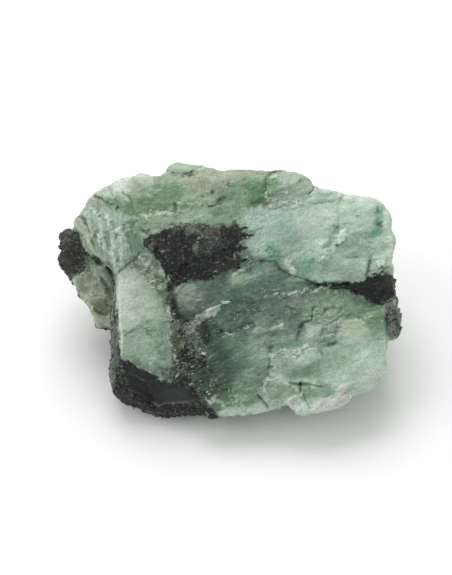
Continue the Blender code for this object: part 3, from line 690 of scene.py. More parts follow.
# Thin pale or dark seams in the schist: tone, half width, strength, line (u, v).
SCHIST_SEAMS = (
    ("loam", 0.05, 0.95, ((-18.6, -14.8), (-16.2, -16), (-14.2, -17.2), (-13.3, -19.1), (-12.4, -21.2))),
    ("loam", 0.05, 0.95, ((-19.5, -17.3), (-17.8, -18.2), (-15.4, -19.3), (-12.3, -21.4), (-9.4, -22.7))),
    ("loam", 0.05, 0.8, ((-12, -21.2), (-10.6, -20.6), (-8.2, -20.4))),
    ("loam", 0.02, 0.6, ((-17.8, -15), (-17.6, -17.6), (-17, -19.6))),
    ("loam", 0.14, 0.5, ((-8.2, -20.6), (-6.6, -20.8), (-5, -20.9))),
    ("umber", 0.25, 0.9, ((-19.2, -13.6), (-19, -15.4), (-18.8, -17))),
    ("night", 0.2, 0.8, ((-19.6, -13), (-19.5, -15.8), (-18.4, -18.6))),
    ("night", 0.18, 0.8, ((-17.6, -20.8), (-14.8, -22), (-11, -21.6), (-6.2, -21.6), (-2.6, -21.4))),
    ("loam", 0.05, 0.6, ((-15.2, -22.4), (-10.4, -22.8), (-5, -22.6))),
    ("ash", 0.08, 0.43, ((1.5, 4.9), (1.7, 6.2))),
    ("ash", 0.15, 0.5, ((-5.6, 8.3), (-5.8, 7), (-5.2, 6), (-4.6, 5.8))),
    ("ash", 0.08, 0.37, ((-5.6, 8.4), (-4.8, 9.1), (-2.6, 9))),
    ("ash", 0.1, 0.37, ((-1.6, 6.8), (-0.6, 8), (0.4, 8.3))),
    ("umber", 0.16, 0.8, ((-2, 7.6), (-1, 8.6), (0.6, 8.2))),
    ("ash", 0.21, 0.34, ((29.9, -1.8), (30.1, -3.4), (30.2, -5))),
    ("ash", 0.07, 0.25, ((24, 0.1), (25.8, 0.3), (27.4, 0.9))),
    ("night", 0.2, 0.8, ((29.2, -5.6), (29, -7.6), (28.8, -8.6))),
)

# Plates that stand proud of the face or lie below it: height, width of their bevel, how fresh and white
# they are, outline (u, v).
FACE_PLATES = (
    (0.45, 0.2, 1.2, ((-21.9, 13.1), (-21, 12.8), (-20.7, 11.9), (-20.8, 11), (-21.3, 10.8), (-21.6, 12))),
    (0.4, 0.16, 1.3, ((-19.9, 10.5), (-19.3, 10.6), (-18.8, 11), (-18.5, 10.4), (-18.9, 9.9),
        (-19.8, 9.8))),
    (0.4, 0.16, 1.2, ((-22.9, 9.7), (-22.2, 9.6), (-22.5, 8.6), (-22.8, 7.4), (-23.2, 8.6))),
    (0.35, 0.25, 0.2, ((-25.2, 13.6), (-24, 14.4), (-23.2, 12.4), (-23.4, 9.6), (-24.4, 8.6), (-25, 11))),
    (0.35, 0.25, 0.1, ((-21.8, 10.4), (-20.4, 10.8), (-20, 8), (-20.4, 5.2), (-21.4, 5), (-21.6, 7.8))),
    (0.3, 0.25, 0.1, ((-19.6, 9.2), (-18.2, 9.6), (-17.8, 7), (-18.4, 4.8), (-19.4, 5))),
    (0.4, 0.3, 0, ((15.1, 15.5), (15.8, 17.6), (16.6, 18.9), (19, 18.6), (21.6, 17), (20.2, 15.5),
        (17, 15.3))),
    (0.35, 0.22, 0.8, ((20, 9.4), (20.6, 10), (21.5, 10.5), (21.8, 9.6), (21.5, 8.5), (20.7, 8.2),
        (20.3, 7.6), (19.8, 7.9), (20.2, 8.6))),
    (0.3, 0.25, 0, ((17.3, 6.3), (18.4, 7.3), (20, 7), (19.6, 5.8), (18, 5))),
    (0.55, 0.5, 0, ((-5.8, 7), (-5.7, 8.5), (-4.9, 9.2), (-2, 9.2), (0.2, 8.4), (0.5, 7.9), (-1, 6.9),
        (-2, 6.4), (-3.5, 6.4), (-4.6, 5.9), (-5.6, 6.1))),
    (0.45, 0.4, 0, ((-15.4, 5.2), (-14.2, 5.8), (-13.2, 5.7), (-12.6, 4.6), (-12.8, 3.4), (-14.3, 3.3))),
    (0.3, 0.2, 1, ((-10.7, 1.7), (-10.2, 2.3), (-9.8, 1.8), (-9.9, 1.1), (-10.4, 1.1))),
    (0.4, 0.16, 0.6, ((-3.3, -4.4), (-2.8, -3.8), (-1.9, -3.2), (-1.3, -3.5), (-1.5, -4.4), (-2.3, -5),
        (-3.2, -5.2), (-3.6, -5.5))),
    (0.25, 0.3, 0.25, ((-3.3, -4.4), (-3.6, -5.4), (-4.4, -6), (-5.4, -6.6), (-6.4, -6.8), (-6, -6),
        (-4.8, -5))),
    (0.3, 0.25, 0, FOOT_PLATE),
    (0.3, 0.25, 0, ((15.6, -21.9), (17.4, -20.2), (20.8, -17.6), (22.6, -17.2), (21.6, -18.6),
        (22.4, -19.4), (20.6, -20.6), (17.8, -21.8))),
    (0.35, 0.4, 0, ((-9.4, -0.9), (-8, 0.7), (-5.6, 1), (-4.7, 0.2), (-5.6, -1.7), (-7.2, -3.3),
        (-8.9, -2.6))),
    (0.3, 0.2, 0.7, ((10.6, 5.2), (11.4, 5.6), (11.8, 4.9), (11.7, 4.2), (12.3, 3.8), (12.7, 2.9),
        (12.2, 2.3), (11.6, 2.9), (11, 3.3), (10.9, 4.2))),
    (0.35, 0.25, 0.7, ((-3.7, -20), (-2.9, -20.2), (-2.2, -19.7), (-1.3, -19.2), (-1.6, -20.1),
        (-0.8, -20.6), (-2.2, -20.8), (-3.2, -20.9))),
    (0.3, 0.22, 0.6, ((7.6, -7.6), (8.4, -6.9), (9.4, -6.7), (10.4, -6.4), (10.3, -6.9), (9.3, -7.4),
        (8.3, -7.8))),
    (0.3, 0.2, 0, ((19.9, -0.7), (20.6, -0.3), (21.3, -0.5), (21.2, -1.6), (20.1, -1.6))),
    (0.45, 0.3, 0, ((7.9, -12.2), (8.6, -11.9), (10.4, -11.5), (12.5, -11.8), (14, -10.4), (16.3, -11.2),
        (17.4, -12.4), (16.6, -13.6), (13, -14.2), (10.4, -14.6), (8.3, -13.6))),
    (0.3, 0.3, 0, PALE_PLATE),
    (0.25, 0.3, 0, ((10.8, -20.6), (11.6, -21.8), (13.2, -22.8), (14.2, -22.6), (13.6, -20.4),
        (12.4, -19.2))),
    (0.18, 0.3, 0, ((-10.9, 21.1), (-10.2, 23), (-5, 23), (-2.6, 22.2), (-5.4, 21.1), (-8, 20.9))),
    (0.3, 0.4, 0, ((7.2, 15.8), (7.6, 19.6), (10, 21.6), (14.4, 20.4), (15.8, 18.6), (15, 17.2),
        (12, 16.4))),
    (0.3, 0.4, 0, ((-9.5, 11.1), (-14, 10.3), (-16.8, 12.6), (-11, 13.5), (-9, 13.4))),
    (0.3, 0.35, 0, ((1.2, 0.6), (0.9, 1.8), (2, 3), (3.6, 3.2), (4.2, 2), (3, 0.7))),
    (0.35, 0.35, 0, ((-25, 1), (-22.6, 1.5), (-21.8, -0.8), (-21.4, -3.6), (-23.6, -4.2), (-25.4, -2.4))),
    (-0.35, 0.2, 0, ((-18.6, -14.8), (-16.2, -16), (-14.2, -17.2), (-13.3, -19.1), (-12.4, -21.2),
        (-15.4, -19.3), (-17.8, -18.2))),
    (0.25, 0.2, 0, ((-14.2, -17.2), (-13.3, -19.1), (-12.2, -21.3), (-10.6, -20.7), (-8.2, -20.4),
        (-4.9, -20.8), (-5.8, -18.6), (-7.6, -17.6), (-10.2, -16.9), (-12.6, -16.4))),
    (0.3, 0.25, 0, ((-19.4, -13.4), (-18.4, -14.6), (-17.8, -17.8), (-19, -19.4), (-20.4, -17))),
    (-0.3, 0.3, 0, ((11.2, -2), (10.4, -3.3), (13.4, -3.6), (15.6, -3.3), (15.8, -2.2), (13.4, -1.4))),
    (-0.35, 0.3, 0, ((22.2, -1), (24, -0.4), (25.2, -1.6), (24, -2))),
    (-0.3, 0.3, 0, ((26.2, 11.2), (27.2, 12.2), (28.4, 11.8), (28, 10.6), (27, 10.4))),
    (-0.25, 0.25, 0, ((-9.4, 14.8), (-8.2, 15.4), (-7.8, 14.4), (-8.4, 12.8), (-9.6, 13))),
)

# Cracks and overhangs' feet: depth, half width at each end, line (u, v).
FACE_CRACKS = (
    (0.6, (0.16, 0.1), ((15.9, -3.4), (15.5, -4.2), (15.4, -5.2), (15.3, -5.9))),
    (0.6, (0.1, 0.22), ((14.9, -5.9), (14.2, -6.1), (13.6, -6.6), (13.2, -7.1))),
    (0.8, (0.12, 0.4), ((11.5, -17.1), (12.3, -17.4), (13.3, -17.6))),
    (0.8, (0.36, 0.06), ((13.3, -17.6), (15, -17.5), (17.2, -17.9))),
    (0.7, (0.34, 0.06), ((13.3, -17.4), (13.4, -18.2), (13.2, -19.1))),
    (0.9, (0.14, 0.26), ((5.7, -19.5), (6.4, -20.3), (7, -20.9), (7.6, -21.8))),
    (0.3, (0.14, 0.08), LOBE_RIM),
    (0.12, (0.1, 0.08), CAP_FOOT),
    (0.1, (0.1, 0.08), CAP_STEP),
    (0.4, (0.16, 0.12), CAP_END),
    (0.45, (0.14, 0.24), LONG_LEDGE),
    (0.6, (0.3, 0.3), ((16.4, 0.5), (19.4, 0.4), (22, 0.7))),
    (0.4, (0.14, 0.1), RIGHT_NICK),
    (0.7, (0.3, 0.26), ((-24.2, 5.4), (-22.6, 4.2), (-21.4, 4.2), (-20.5, 2.6), (-20.1, 0.6),
        (-20.1, -3.4))),
    (0.4, (0.16, 0.3), TAB_SIDE),
    (0.5, (0.24, 0.24), TAB_FOOT),
    (0.3, (0.1, 0.08), LOBE_TOP),
    (0.2, (0.14, 0.14), ((-10.7, 21.1), (-9.2, 20.8), (-7.4, 20.8), (-5.4, 21))),
    (0.4, (0.26, 0.2), ((-9.4, -2.4), (-9, -4.6), (-8, -5.6))),
    (0.4, (0.2, 0.14), MIDDLE_CRACK),
    (0.3, (0.16, 0.1), ((8, -11), (8, -13.4), (7.6, -15.8))),
    (0.3, (0.12, 0.12), FOOT_CRACK),
    (0.15, (0.14, 0.1), RIGHT_DASH),
    (0.35, (0.2, 0.16), ((-9.2, 15), (-9, 14), (-9.1, 13))),
    (0.9, (0.4, 0.2), ((-27, 13.2), (-25.8, 12.4), (-25, 10.8), (-24.3, 8.6), (-23.4, 6.2))),
    (0.16, (0.16, 0.12), ((-18.2, -8.6), (-16.4, -7.8), (-14.8, -6.8), (-13.2, -5.9))),
    (0.6, (0.35, 0.15), ((-21.8, 19), (-21, 17.8), (-20.4, 16.6))),
    (0.6, (0.35, 0.12), ((-25.4, 17.6), (-24.4, 16.8), (-23.7, 16.4))),
)

# Stretches where crystal and schist are mixed grain by grain: lean towards schist (more than 0) or crystal
# (less than 0), middle (u, v), half lengths, turn.
MOTTLED_PATCHES = (
    (-0.2, (-6.1, -8.6), (2.8, 4.6), 8),
    (0.25, (-3.7, -8), (1.2, 3.2), 12),
    (0.05, (-6.4, -13.2), (3.6, 2.8), 20),
    (0.1, (-7.2, -16.4), (3.4, 1.5), -20),
    (-0.15, (-4.4, -18), (1.8, 2.4), 20),
    (-0.3, (-2.2, -9.4), (1.8, 3.6), 8),
    (-0.3, (-3, -15.4), (2, 4), 10),
    (-0.45, (-1, -17.4), (2.2, 2.4), -20),
    (-0.35, (-7.6, -5.2), (2.2, 1.6), 20),
    (-0.3, (-10.6, -15.2), (2.4, 1), -20),
    (-0.55, (-1.6, 0.8), (2.6, 1.4), 10),
    (-0.6, (-3.8, -3), (1.8, 1.6), -20),
    (-0.55, (-24.2, 4.4), (1.2, 2), 40),
    (-0.4, (-22.9, -3.8), (2.2, 1.2), 10),
    (-0.45, (27.4, 3.2), (2.6, 1.3), 0),
    (-0.6, (-5, 12), (6, 1.2), 4),
    (-0.5, (-14.4, 10.6), (2.4, 1.2), 20),
    (-0.65, (15.4, 0.9), (2.6, 0.9), -12),
    (-0.7, (-20.6, -1), (0.9, 4.4), 4),
    (-0.6, (29.6, -2.4), (1.4, 1.4), 0),
)

# Veins of the same mixture: lean, half width at each end, line (u, v).
MOTTLED_VEINS = (
    (-0.55, (0.9, 0.7), ((-16.6, 4.4), (-14.4, 2.8), (-12.4, 0.8), (-10.9, -2), (-9.8, -5.6))),
    (-0.15, (0.6, 0.5), ((-9.6, -5.6), (-9.3, -9.5), (-9.2, -14.6))),
    (0, (0.8, 0.5), ((-9.8, -2), (-9.2, -4), (-8, -5.4))),
    (-0.3, (0.5, 0.5), ((2.6, 9.4), (2.9, 7.4), (3.3, 5.6), (2.4, 3.8))),
    (1.8, (0.35, 0.1), ((1.8, 9.5), (3.4, 9.3), (5, 9.2))),
    (1.8, (0.3, 0.1), ((1.8, 10.4), (3, 10.5), (3.9, 10.9))),
    (1.6, (0.3, 0.1), ((1.9, 8.2), (3.2, 8.6), (4.2, 8.5))),
    (1.6, (0.35, 0.1), ((1.8, 6.4), (3, 6.9), (4.2, 6.9))),
    (1.6, (0.35, 0.1), ((1.8, 4.6), (3.2, 4.8), (4, 5.2))),
)

# Calmer stretches of the face, where the break is smooth: share of the relief that stays, outline (u, v).
CALM_OUTLINES = (
    (0.45, ((-20, 1.6), (-18.2, 3.2), (-15.6, 3), (-12.2, 0.8), (-10.6, -3.2), (-10.2, -6), (-9.8, -14.4),
        (-12, -15.9), (-15, -14.7), (-18.7, -12.4), (-18.9, -8.6), (-19.7, -4))),
    (0.25, ((-18.4, -13.4), (-14.8, -15), (-9.3, -16.4), (-7, -17.2), (-4.6, -20.2), (-8, -21.2),
        (-12.4, -21.4), (-16.2, -19.6), (-18.2, -17))),
    (0.5, ((17.2, 1), (24.6, 1.6), (28, 3), (32.5, 2), (32.5, -3), (25, -3), (18, -0.6))),
    (0.6, ((6, 12), (10, 15), (19.5, 15), (19.5, 9), (12, 8), (7, 9.4))),
    (0.55, PALE_PLATE),
    (0.6, ((-24.6, 13.6), (-21, 14.4), (-17, 12), (-17.2, 6.4), (-19.6, 4), (-23, 5.4))),
    (0.55, ((-17, 12.2), (-17.4, 18.4), (-9, 20.6), (0, 21), (7, 20), (7, 13), (-2, 11.6), (-9, 11.4))),
    (0.6, ((19, 4.6), (19, 14.8), (26, 15.4), (29, 12), (29, 4.4), (24, 2.6))),
    (0.6, ((17.6, -11.4), (24, -10.2), (28.6, -10.6), (28.6, -16.8), (22, -18.8), (16.4, -16))),
)


# ---- paint in the stone's body

# Oval zones of tone behind the face: tone, middle (x, y, z), half lengths, strength.
BODY_ZONES = (
    ("fern", (0, 10, 16), (40, 30, 24), 1),
    ("sage", (-6, 16, 27), (16, 10, 9), 0.9),
    ("khaki", (12, 20, 20), (12, 7, 8), 0.7),
    ("teal", (16, 14, 8), (12, 10, 8), 0.8),
    ("leaf", (-12, 16, 12), (10, 9, 8), 0.8),
    ("mint", (26, 8, 24), (9, 12, 9), 0.9),
    ("celadon", (24, -6, 9), (12, 12, 7), 0.8),
    ("mist", (-20, 6, 24), (8, 10, 7), 0.8),
    ("khaki", (-26, 2, 12), (9, 8, 8), 0.7),
    ("deep", (0, -14, 3), (16, 8, 5), 0.8),
    ("pale", (14, -18, 4), (12, 6, 4), 0.8),
    ("aqua", (4, 20, 26), (7, 6, 6), 0.6),
    ("emerald", (20, 18, 15), (6, 6, 6), 0.6),
    ("olive", (-4, 22, 10), (8, 6, 6), 0.6),
    ("mint", (2, 22, 18), (6, 4, 6), 0.5),
    ("blush", (-16, 18, 20), (5, 5, 4), 0.6),
)

# Oval masses of schist behind the face: tone, middle (x, y, z), half lengths.
BODY_SCHIST = (
    ("umber", (-29.5, 6.5, 17), (7.5, 9, 7.5)),
    ("soot", (-17, -11, 5), (10, 13, 8)),
    ("jet", (-12, 2, 0), (18, 12, 5.5)),
    ("soot", (31, 1, 16.5), (6, 13, 4.5)),
    ("umber", (10, 21.5, 5), (10, 6, 4.2)),
    ("soot", (-15, 19, 21), (6.5, 5, 2.6)),
    ("soot", (17, 9, 0), (8, 9, 3)),
    ("jet", (3, 22, 27.5), (7, 3.5, 1.7)),
    ("umber", (26, 14, 12), (5, 5, 2.2)),
    ("soot", (-22, 12, 8), (7, 6, 3.2)),
)


# ---- settings

def length(name, text, value, most):
    """A length, given here in millimetres and kept in metres."""
    return bpy.props.FloatProperty(
        name=name, description=text, default=value * MM, min=0.0, max=most * MM, precision=5,
        subtype="DISTANCE", unit="LENGTH")


def in_millimetres(group_name):
    """The values of a group of settings, with its lengths in millimetres."""
    group = getattr(bpy.context.scene, group_name)
    values = {}
    for name in type(group).__annotations__:
        values[name] = getattr(group, name)
        if group.bl_rna.properties[name].unit == "LENGTH":
            values[name] /= MM
    return SimpleNamespace(**values)


def share(name, text, value, most=1.0):
    """A share or a strength without a unit."""
    return bpy.props.FloatProperty(
        name=name, description=text, default=value, min=0.0, max=most, subtype="FACTOR")


def count(name, text, value, most):
    """A whole number."""
    return bpy.props.IntProperty(name=name, description=text, default=value, min=0, max=most)


def power(name, text, value):
    """The power of a lamp in watts."""
    return bpy.props.FloatProperty(
        name=name, description=text, default=value, min=0.0, max=50.0, subtype="POWER", unit="POWER")


def tone(name, text, red, green, blue):
    """A colour in display values from 0 to 255."""
    return bpy.props.FloatVectorProperty(
        name=name, description=text, default=(red / 255, green / 255, blue / 255), size=3, min=0.0, max=1.0,
        subtype="COLOR_GAMMA")


class CrystalTones(bpy.types.PropertyGroup):
    """The colours that the stone is painted from."""

    mint: tone("Mint", "Milky pale green of the upper right face", 172, 194, 176)
    mist: tone("Mist", "Grey-green haze of thin crystal", 162, 178, 160)
    frost: tone("Frost", "Nearly white crystal on broken rims", 196, 208, 194)
    pale: tone("Pale", "Pale yellow-green crystal", 178, 196, 170)
    pearl: tone("Pearl", "Bluish white of the lower rim", 178, 190, 180)
    blush: tone("Blush", "White with a trace of pink", 198, 202, 190)
    aqua: tone("Aqua", "Blue-green milky crystal", 152, 178, 162)
    celadon: tone("Celadon", "Middling grey-green", 138, 161, 139)
    fern: tone("Fern", "Fuller green of thicker crystal", 112, 138, 112)
    sage: tone("Sage", "Dull olive green", 136, 156, 130)
    khaki: tone("Khaki", "Olive green turned by the schist behind it", 152, 162, 142)
    olive: tone("Olive", "Brownish green with schist in it", 104, 118, 90)
    leaf: tone("Leaf", "Full yellow-green", 92, 130, 94)
    emerald: tone("Emerald", "Full green of clear crystal", 98, 152, 119)
    slate: tone("Slate", "Grey-green with fine schist in it", 92, 108, 96)
    teal: tone("Teal", "Dark blue-green of the middle", 86, 110, 94)
    deep: tone("Deep", "Darkest green", 54, 78, 63)
    moss: tone("Moss", "Dark granular green of veins", 62, 80, 56)
    ash: tone("Ash", "Grey glassy quartz", 124, 136, 122)
    rust: tone("Rust", "Iron stain", 136, 104, 62)
    chip: tone("Chip", "Fresh white chips", 212, 224, 210)
    night: tone("Night", "Shadowed cracks", 30, 38, 30)
    soot: tone("Soot", "Dark grey schist", 38, 42, 41)
    jet: tone("Jet", "Black mica schist", 22, 27, 28)
    umber: tone("Umber", "Brown-grey weathered schist", 70, 72, 64)
    loam: tone("Loam", "Light grey-brown schist", 108, 110, 98)
    plum: tone("Plum", "Purple-grey schist", 78, 86, 80)


class CrystalShape(bpy.types.PropertyGroup):
    """Sizes of the stone's broken surface."""

    grain: length("Mesh grain", "Spacing of the surface mesh, halved on the broad face", 0.48, 2.0)
    softening: count("Softening", "Rounds of smoothing before the fine break is cut", 3, 30)
    swell: length("Swell", "Height of the broad swells of the break", 0.22, 2.0)
    swell_size: length("Swell size", "Size of the broad swells", 4.5, 20.0)
    facet: length("Facet step", "Height of the steps between broken facets", 0.17, 1.0)
    facet_size: length("Facet size", "Size of the broken facets", 3.0, 20.0)
    plate: length("Plate step", "Height of the steps between thin plates", 0.08, 1.0)
    plate_size: length("Plate size", "Size of the thin plates", 1.2, 10.0)
    ledge: length("Ledge height", "Height of the stepped ledges", 0.5, 2.0)
    ledge_size: length("Ledge size", "Size of the stepped ledges", 4.2, 20.0)
    shelf: length("Shelf height", "Height of the fine shelves", 0.22, 1.0)
    shelf_size: length("Shelf size", "Size of the fine shelves", 1.7, 10.0)
    splinter: share("Splinter", "How much longer facets run along the grain than across it", 0.55)
    sand: length("Sand", "Height of the finest grain", 0.035, 0.5)
    schist_step: length("Schist step", "Height of the steps between mica books", 0.11, 1.0)
    schist_size: length("Schist size", "Size of the mica books", 0.85, 5.0)


class CrystalTrim(bpy.types.PropertyGroup):
    """Numbers and sizes of the mica flakes and splinters."""

    flakes: count("Mica flakes", "How many mica flakes lie on the schist", 1100, 8000)
    flake_size: length("Flake size", "Middling width of a mica flake", 0.46, 3.0)
    flake_thickness: length("Flake thickness", "Thickness of a mica flake", 0.05, 0.5)
    splinters: count("Splinters", "How many crystal splinters lie on the break", 480, 4000)
    splinter_size: length("Splinter size", "Middling length of a splinter", 0.42, 3.0)


class CrystalStage(bpy.types.PropertyGroup):
    """The floor, the lamps and the camera."""

    lens: bpy.props.FloatProperty(
        name="Lens", description="Focal length of the camera", default=104.35, min=20.0, max=300.0,
        subtype="DISTANCE_CAMERA")
    floor: tone("Floor", "Colour of the plain floor", 246, 246, 246)
    sky: share("Sky", "Strength of the light from all round", 0.67, 5.0)
    top_lamp: power("Top lamp", "Power of the soft lamp above and behind", 3.4)
    side_lamp: power("Side lamp", "Power of the soft lamp at the left", 1.0)


# ---- the stone's paint and relief

def linear(colour):
    """Display values from 0 to 1 as linear light, by the usual curve."""
    colour = np.array(colour, float)
    return np.where(colour <= 0.04045, colour / 12.92, ((colour + 0.055) / 1.055) ** 2.4)


def palette():
    """Every tone by its name, as linear light."""
    tones = bpy.context.scene.crystal_tones
    return {name: linear(getattr(tones, name)) for name in CrystalTones.__annotations__}


def lay(paint, colour, weight):
    """Lays a colour over the paint."""
    paint += (colour - paint) * weight[:, None]


LEDGE_LEVELS = 2.6
SHELF_LEVELS = 2.2

# How far places wander with the warp and with the ripple or jag: for patches, for lines and for plates.
WAVY = (0.5, 0.2)
CRISP = (0.1, 0.06)
JAGGED = (0.1, 0.24)

# The same for the zones of the body, for the border of its schist, and for the grain.
BODY_DRIFT = 3.2
BODY_RAGGED = 0.6
GRAIN_BEND = 0.45

# Depth given to places that no outline reaches, in millimetres.
FAR_OUTSIDE = -6.0

# The left lobe: middle (u, v), half lengths, turn, and the depths (w) over which it ends.
LOBE_OVAL = ((-24, 9), (9, 12), 60)
LOBE_DEPTH = (-24, -14)

# Shares of white broken crystal and painted glint specks: all over, in the schist, in patches and along the
# border of the schist.
WHITE_GROUND = 0.045
WHITE_SCHIST = 0.2
WHITE_PATCHES = 0.16
WHITE_BORDER = 0.22


class Survey:
    """What is known of each point of the stone's surface before it is painted and cut."""

    def __init__(self, points, normals):
        self.points = points
        self.places, self.out = face_places(points)
        self.front = ramp(self.out, *FACE_DEPTH) * ramp(normals @ OUTWARD, *FACE_TURN)
        warp = drift(points, "warp", 2)
        self.ripple = drift(points, "ripple", 2)
        self.wavy = self.places + WAVY[0] * warp + WAVY[1] * self.ripple
        self.crisp = self.places + CRISP[0] * warp + CRISP[1] * self.ripple
        self.jagged = self.places + JAGGED[0] * warp + JAGGED[1] * drift(points, "jag", 2)
        self.crumb = named_noise(points, "crumb")
        self.mottle = named_noise(points, "mottle")
        self.patchy = named_noise(points, "patch")
        self.body_points = points + BODY_DRIFT * drift(points, "body", 3)
        self.mixed = np.zeros(len(points))
        self.schist = self.schist_depth()
        self.buried = ramp(self.schist, -0.25, 0.15)
        self.lobe = ramp(patch_depth(self.places, *LOBE_OVAL), -0.15, 0.25) * ramp(self.out, *LOBE_DEPTH)
        self.calm = self.calm_share()
        self.white = self.white_and_glint_share()
        self.broken = ramp(self.white, 0.12, 0.6)
        self.grained = self.grained_points()
        shape = in_millimetres("crystal_shape")
        self.ledge, self.ledge_part = ledges(self.grained, shape.ledge_size, SALTS["ledges"], LEDGE_LEVELS)
        self.shelf, self.shelf_part = ledges(self.grained, shape.shelf_size, SALTS["shelves"], SHELF_LEVELS)

    def schist_depth(self):
        """How deep each point lies inside schist, in millimetres; negative in crystal."""
        face = np.full(len(self.points), FAR_OUTSIDE)
        for _, ragged, outline in SCHIST_OUTLINES:
            places = self.crisp + (self.wavy - self.crisp) * ragged
            face = np.maximum(face, outline_depth(places, outline))
        body = np.full(len(self.points), FAR_OUTSIDE)
        for _, middle, reach in BODY_SCHIST:
            body = np.maximum(body, self.zone_depth(middle, reach) * min(reach))
        body += BODY_RAGGED * self.mottle
        for lean, middle, reach, turn in MOTTLED_PATCHES:
            depth = patch_depth(self.wavy, middle, reach, turn) * min(reach)
            face = np.maximum(face, self.mottled(lean, depth))
        for lean, width, line in MOTTLED_VEINS:
            gap, run = line_gap(self.wavy, line)
            face = np.maximum(face, self.mottled(lean, taper(width, run) - gap))
        self.mixed = self.mixed * self.front + ramp(body, -1.8, 0.2) * (1 - self.front)
        return face * self.front + body * (1 - self.front)

    def mottled(self, lean, depth):
        """How deep a point lies in schist where it is mixed with crystal, fading out towards the rim."""
        self.mixed = np.maximum(self.mixed, ramp(depth, -0.9, 0.3))
        return lean + 0.25 * self.mottle - 4.0 * ramp(depth, 0.8, -1.1)

    def zone_depth(self, middle, reach):
        """1 at the middle of an oval zone of the body, 0 on its rim and negative outside."""
        return 1 - np.linalg.norm((self.body_points - np.array(middle)) / np.array(reach), axis=1)

    def calm_share(self):
        """How much of the relief stays: all of it on a rough break, little of it on a smooth one."""
        share = np.ones(len(self.points))
        for kept, outline in CALM_OUTLINES:
            inside = ramp(outline_depth(self.places, outline), -0.4, 0.8) * self.front
            share *= 1 - (1 - kept) * inside
        return share

    def white_and_glint_share(self):
        """How thickly broken white crystal and painted glint specks lie, from 0 to 1."""
        white = WHITE_GROUND + WHITE_PATCHES * ramp(named_noise(self.points, "white"), 0.15, 0.75)
        white += (WHITE_SCHIST - white) * self.buried
        for width, strength, line in WHITE_AND_GLINT_BANDS:
            gap, _ = line_gap(self.wavy, line)
            near = strength * self.front * (1 - ramp(gap, width * 0.3, width * 1.6))
            white = np.maximum(white, near)
        border = 1 - ramp(np.abs(self.schist), 0.2, 1.2)
        return np.maximum(white, WHITE_BORDER * border)

    def along(self, turn, stretch):
        """Points measured along, across and out of the grain, with the grain direction drawn in."""
        measured = self.points @ grain_axes(turn).T
        measured[:, 0] *= stretch
        return measured

    def grained_points(self):
        """Points measured along the grain of their own part of the stone, a little bent."""
        stretch = 1 - bpy.context.scene.crystal_shape.splinter
        on_face = self.along(GRAIN_TURN, stretch)
        on_lobe = self.along(LOBE_TURN, stretch)
        grained = on_face + (on_lobe - on_face) * (self.lobe > 0.5)[:, None]
        return grained + GRAIN_BEND * drift(self.points, "bend", 3)


def lay_patches(paint, tones, places, patches):
    """Oval patches of tone, one over the other."""
    for name, middle, reach, turn, soft, strength in patches:
        depth = patch_depth(places, middle, reach, turn)
        lay(paint, tones[name], strength * ramp(depth, -soft, soft))


# How strongly the pale rims of the raised plates show on crystal and on schist, white broken edges with
# painted highlight, and the lightest tone allowed.
CRYSTAL_RIM = 0.6
SCHIST_RIM = 0.22
BRIGHTEST = 0.9

# Lips and hollows of the body's ledges and shelves: strength of the pale tone and of the painted shade in
# the hollows.
BODY_LEDGE = 0.65
BODY_SHELF = 0.4

# Specks of mica in the body: spacing, smallest size and spread of sizes, and share of them shown.
SPECK_SPACING = 2.8
SPECK_SIZE = (0.15, 0.4)
SPECK_SHARE = 0.3

# Small breaks in the crystal, each with its own tone and painted facet shading: size in millimetres, salt,
# strength.
TONED_AND_SHADED_BREAKS = ((2.2, 1133, 0.12), (0.9, 1120, 0.06))


def crystal_paint(survey, tones):
    """Tones of the green crystal."""
    body = np.tile(tones["fern"], (len(survey.points), 1))
    face = body.copy()
    for name, middle, reach, strength in BODY_ZONES:
        depth = survey.zone_depth(middle, reach)
        lay(body, tones[name], strength * ramp(depth, -0.15, 0.45))
    lay_patches(face, tones, survey.wavy, GROUND_PATCHES)
    for name, soft, strength, outline in FACE_OUTLINES:
        depth = outline_depth(survey.wavy, outline)
        lay(face, tones[name], strength * ramp(depth, -soft, soft))
    lay_patches(face, tones, survey.wavy, FACE_PATCHES)
    come_and_go = 0.35 + 0.65 * ramp(survey.mottle, -0.75, 0.15)
    for name, width, soft, strength, line in FACE_BANDS:
        gap, run = line_gap(survey.crisp, line)
        wide = taper(width, run) * (0.85 + 0.35 * survey.mottle)
        lay(face, tones[name], strength * come_and_go * (1 - ramp(gap, wide - soft / 2, wide + soft)))
    for middle, reach, turn in FACE_SPECKS:
        depth = patch_depth(survey.crisp + 0.1 * survey.ripple, middle, reach, turn)
        lay(face, tones["night"], 0.8 * ramp(depth, -0.5, 0.25))
    lay_body_breaks(survey, body, tones)
    lay(body, face, survey.front)
    body *= break_gain(survey, body)[:, None]
    lay_chips(survey, body, tones, CRYSTAL_RIM)
    return np.clip(body, 0.0, BRIGHTEST)


def lay_body_breaks(survey, paint, tones):
    """Pale lips, painted shade in the hollows, and specks of mica round the sides and the back."""
    patchy = ramp(survey.patchy, -0.3, 0.5)
    for part, strength in ((survey.ledge_part, BODY_LEDGE), (survey.shelf_part, BODY_SHELF)):
        lip = 1 - ramp(part, 0.0, 0.14)
        hollow_shade = ramp(part, 0.66, 0.78) * (1 - ramp(part, 0.86, 0.98))
        lay(paint, tones["frost"], strength * patchy * lip)
        # the olive laid in the hollows is painted shade
        lay(paint, tones["olive"], strength * (1 - patchy) * hollow_shade)
    cell, away = cell_noise(survey.points, SPECK_SPACING, SALTS["specks"])
    size = SPECK_SIZE[0] + SPECK_SIZE[1] * chance(cell, SALTS["specks"] + 2)
    gap = np.linalg.norm(away, axis=1) + 0.25 * survey.crumb
    chosen = chance(cell, SALTS["specks"] + 3) < SPECK_SHARE
    lay(paint, tones["night"], 0.8 * chosen * (1 - ramp(gap, size * 0.7, size + 0.15)))


def brightness(paint):
    """How light each painted point is, from 0 to 1."""
    return paint @ np.array((0.3, 0.6, 0.1))


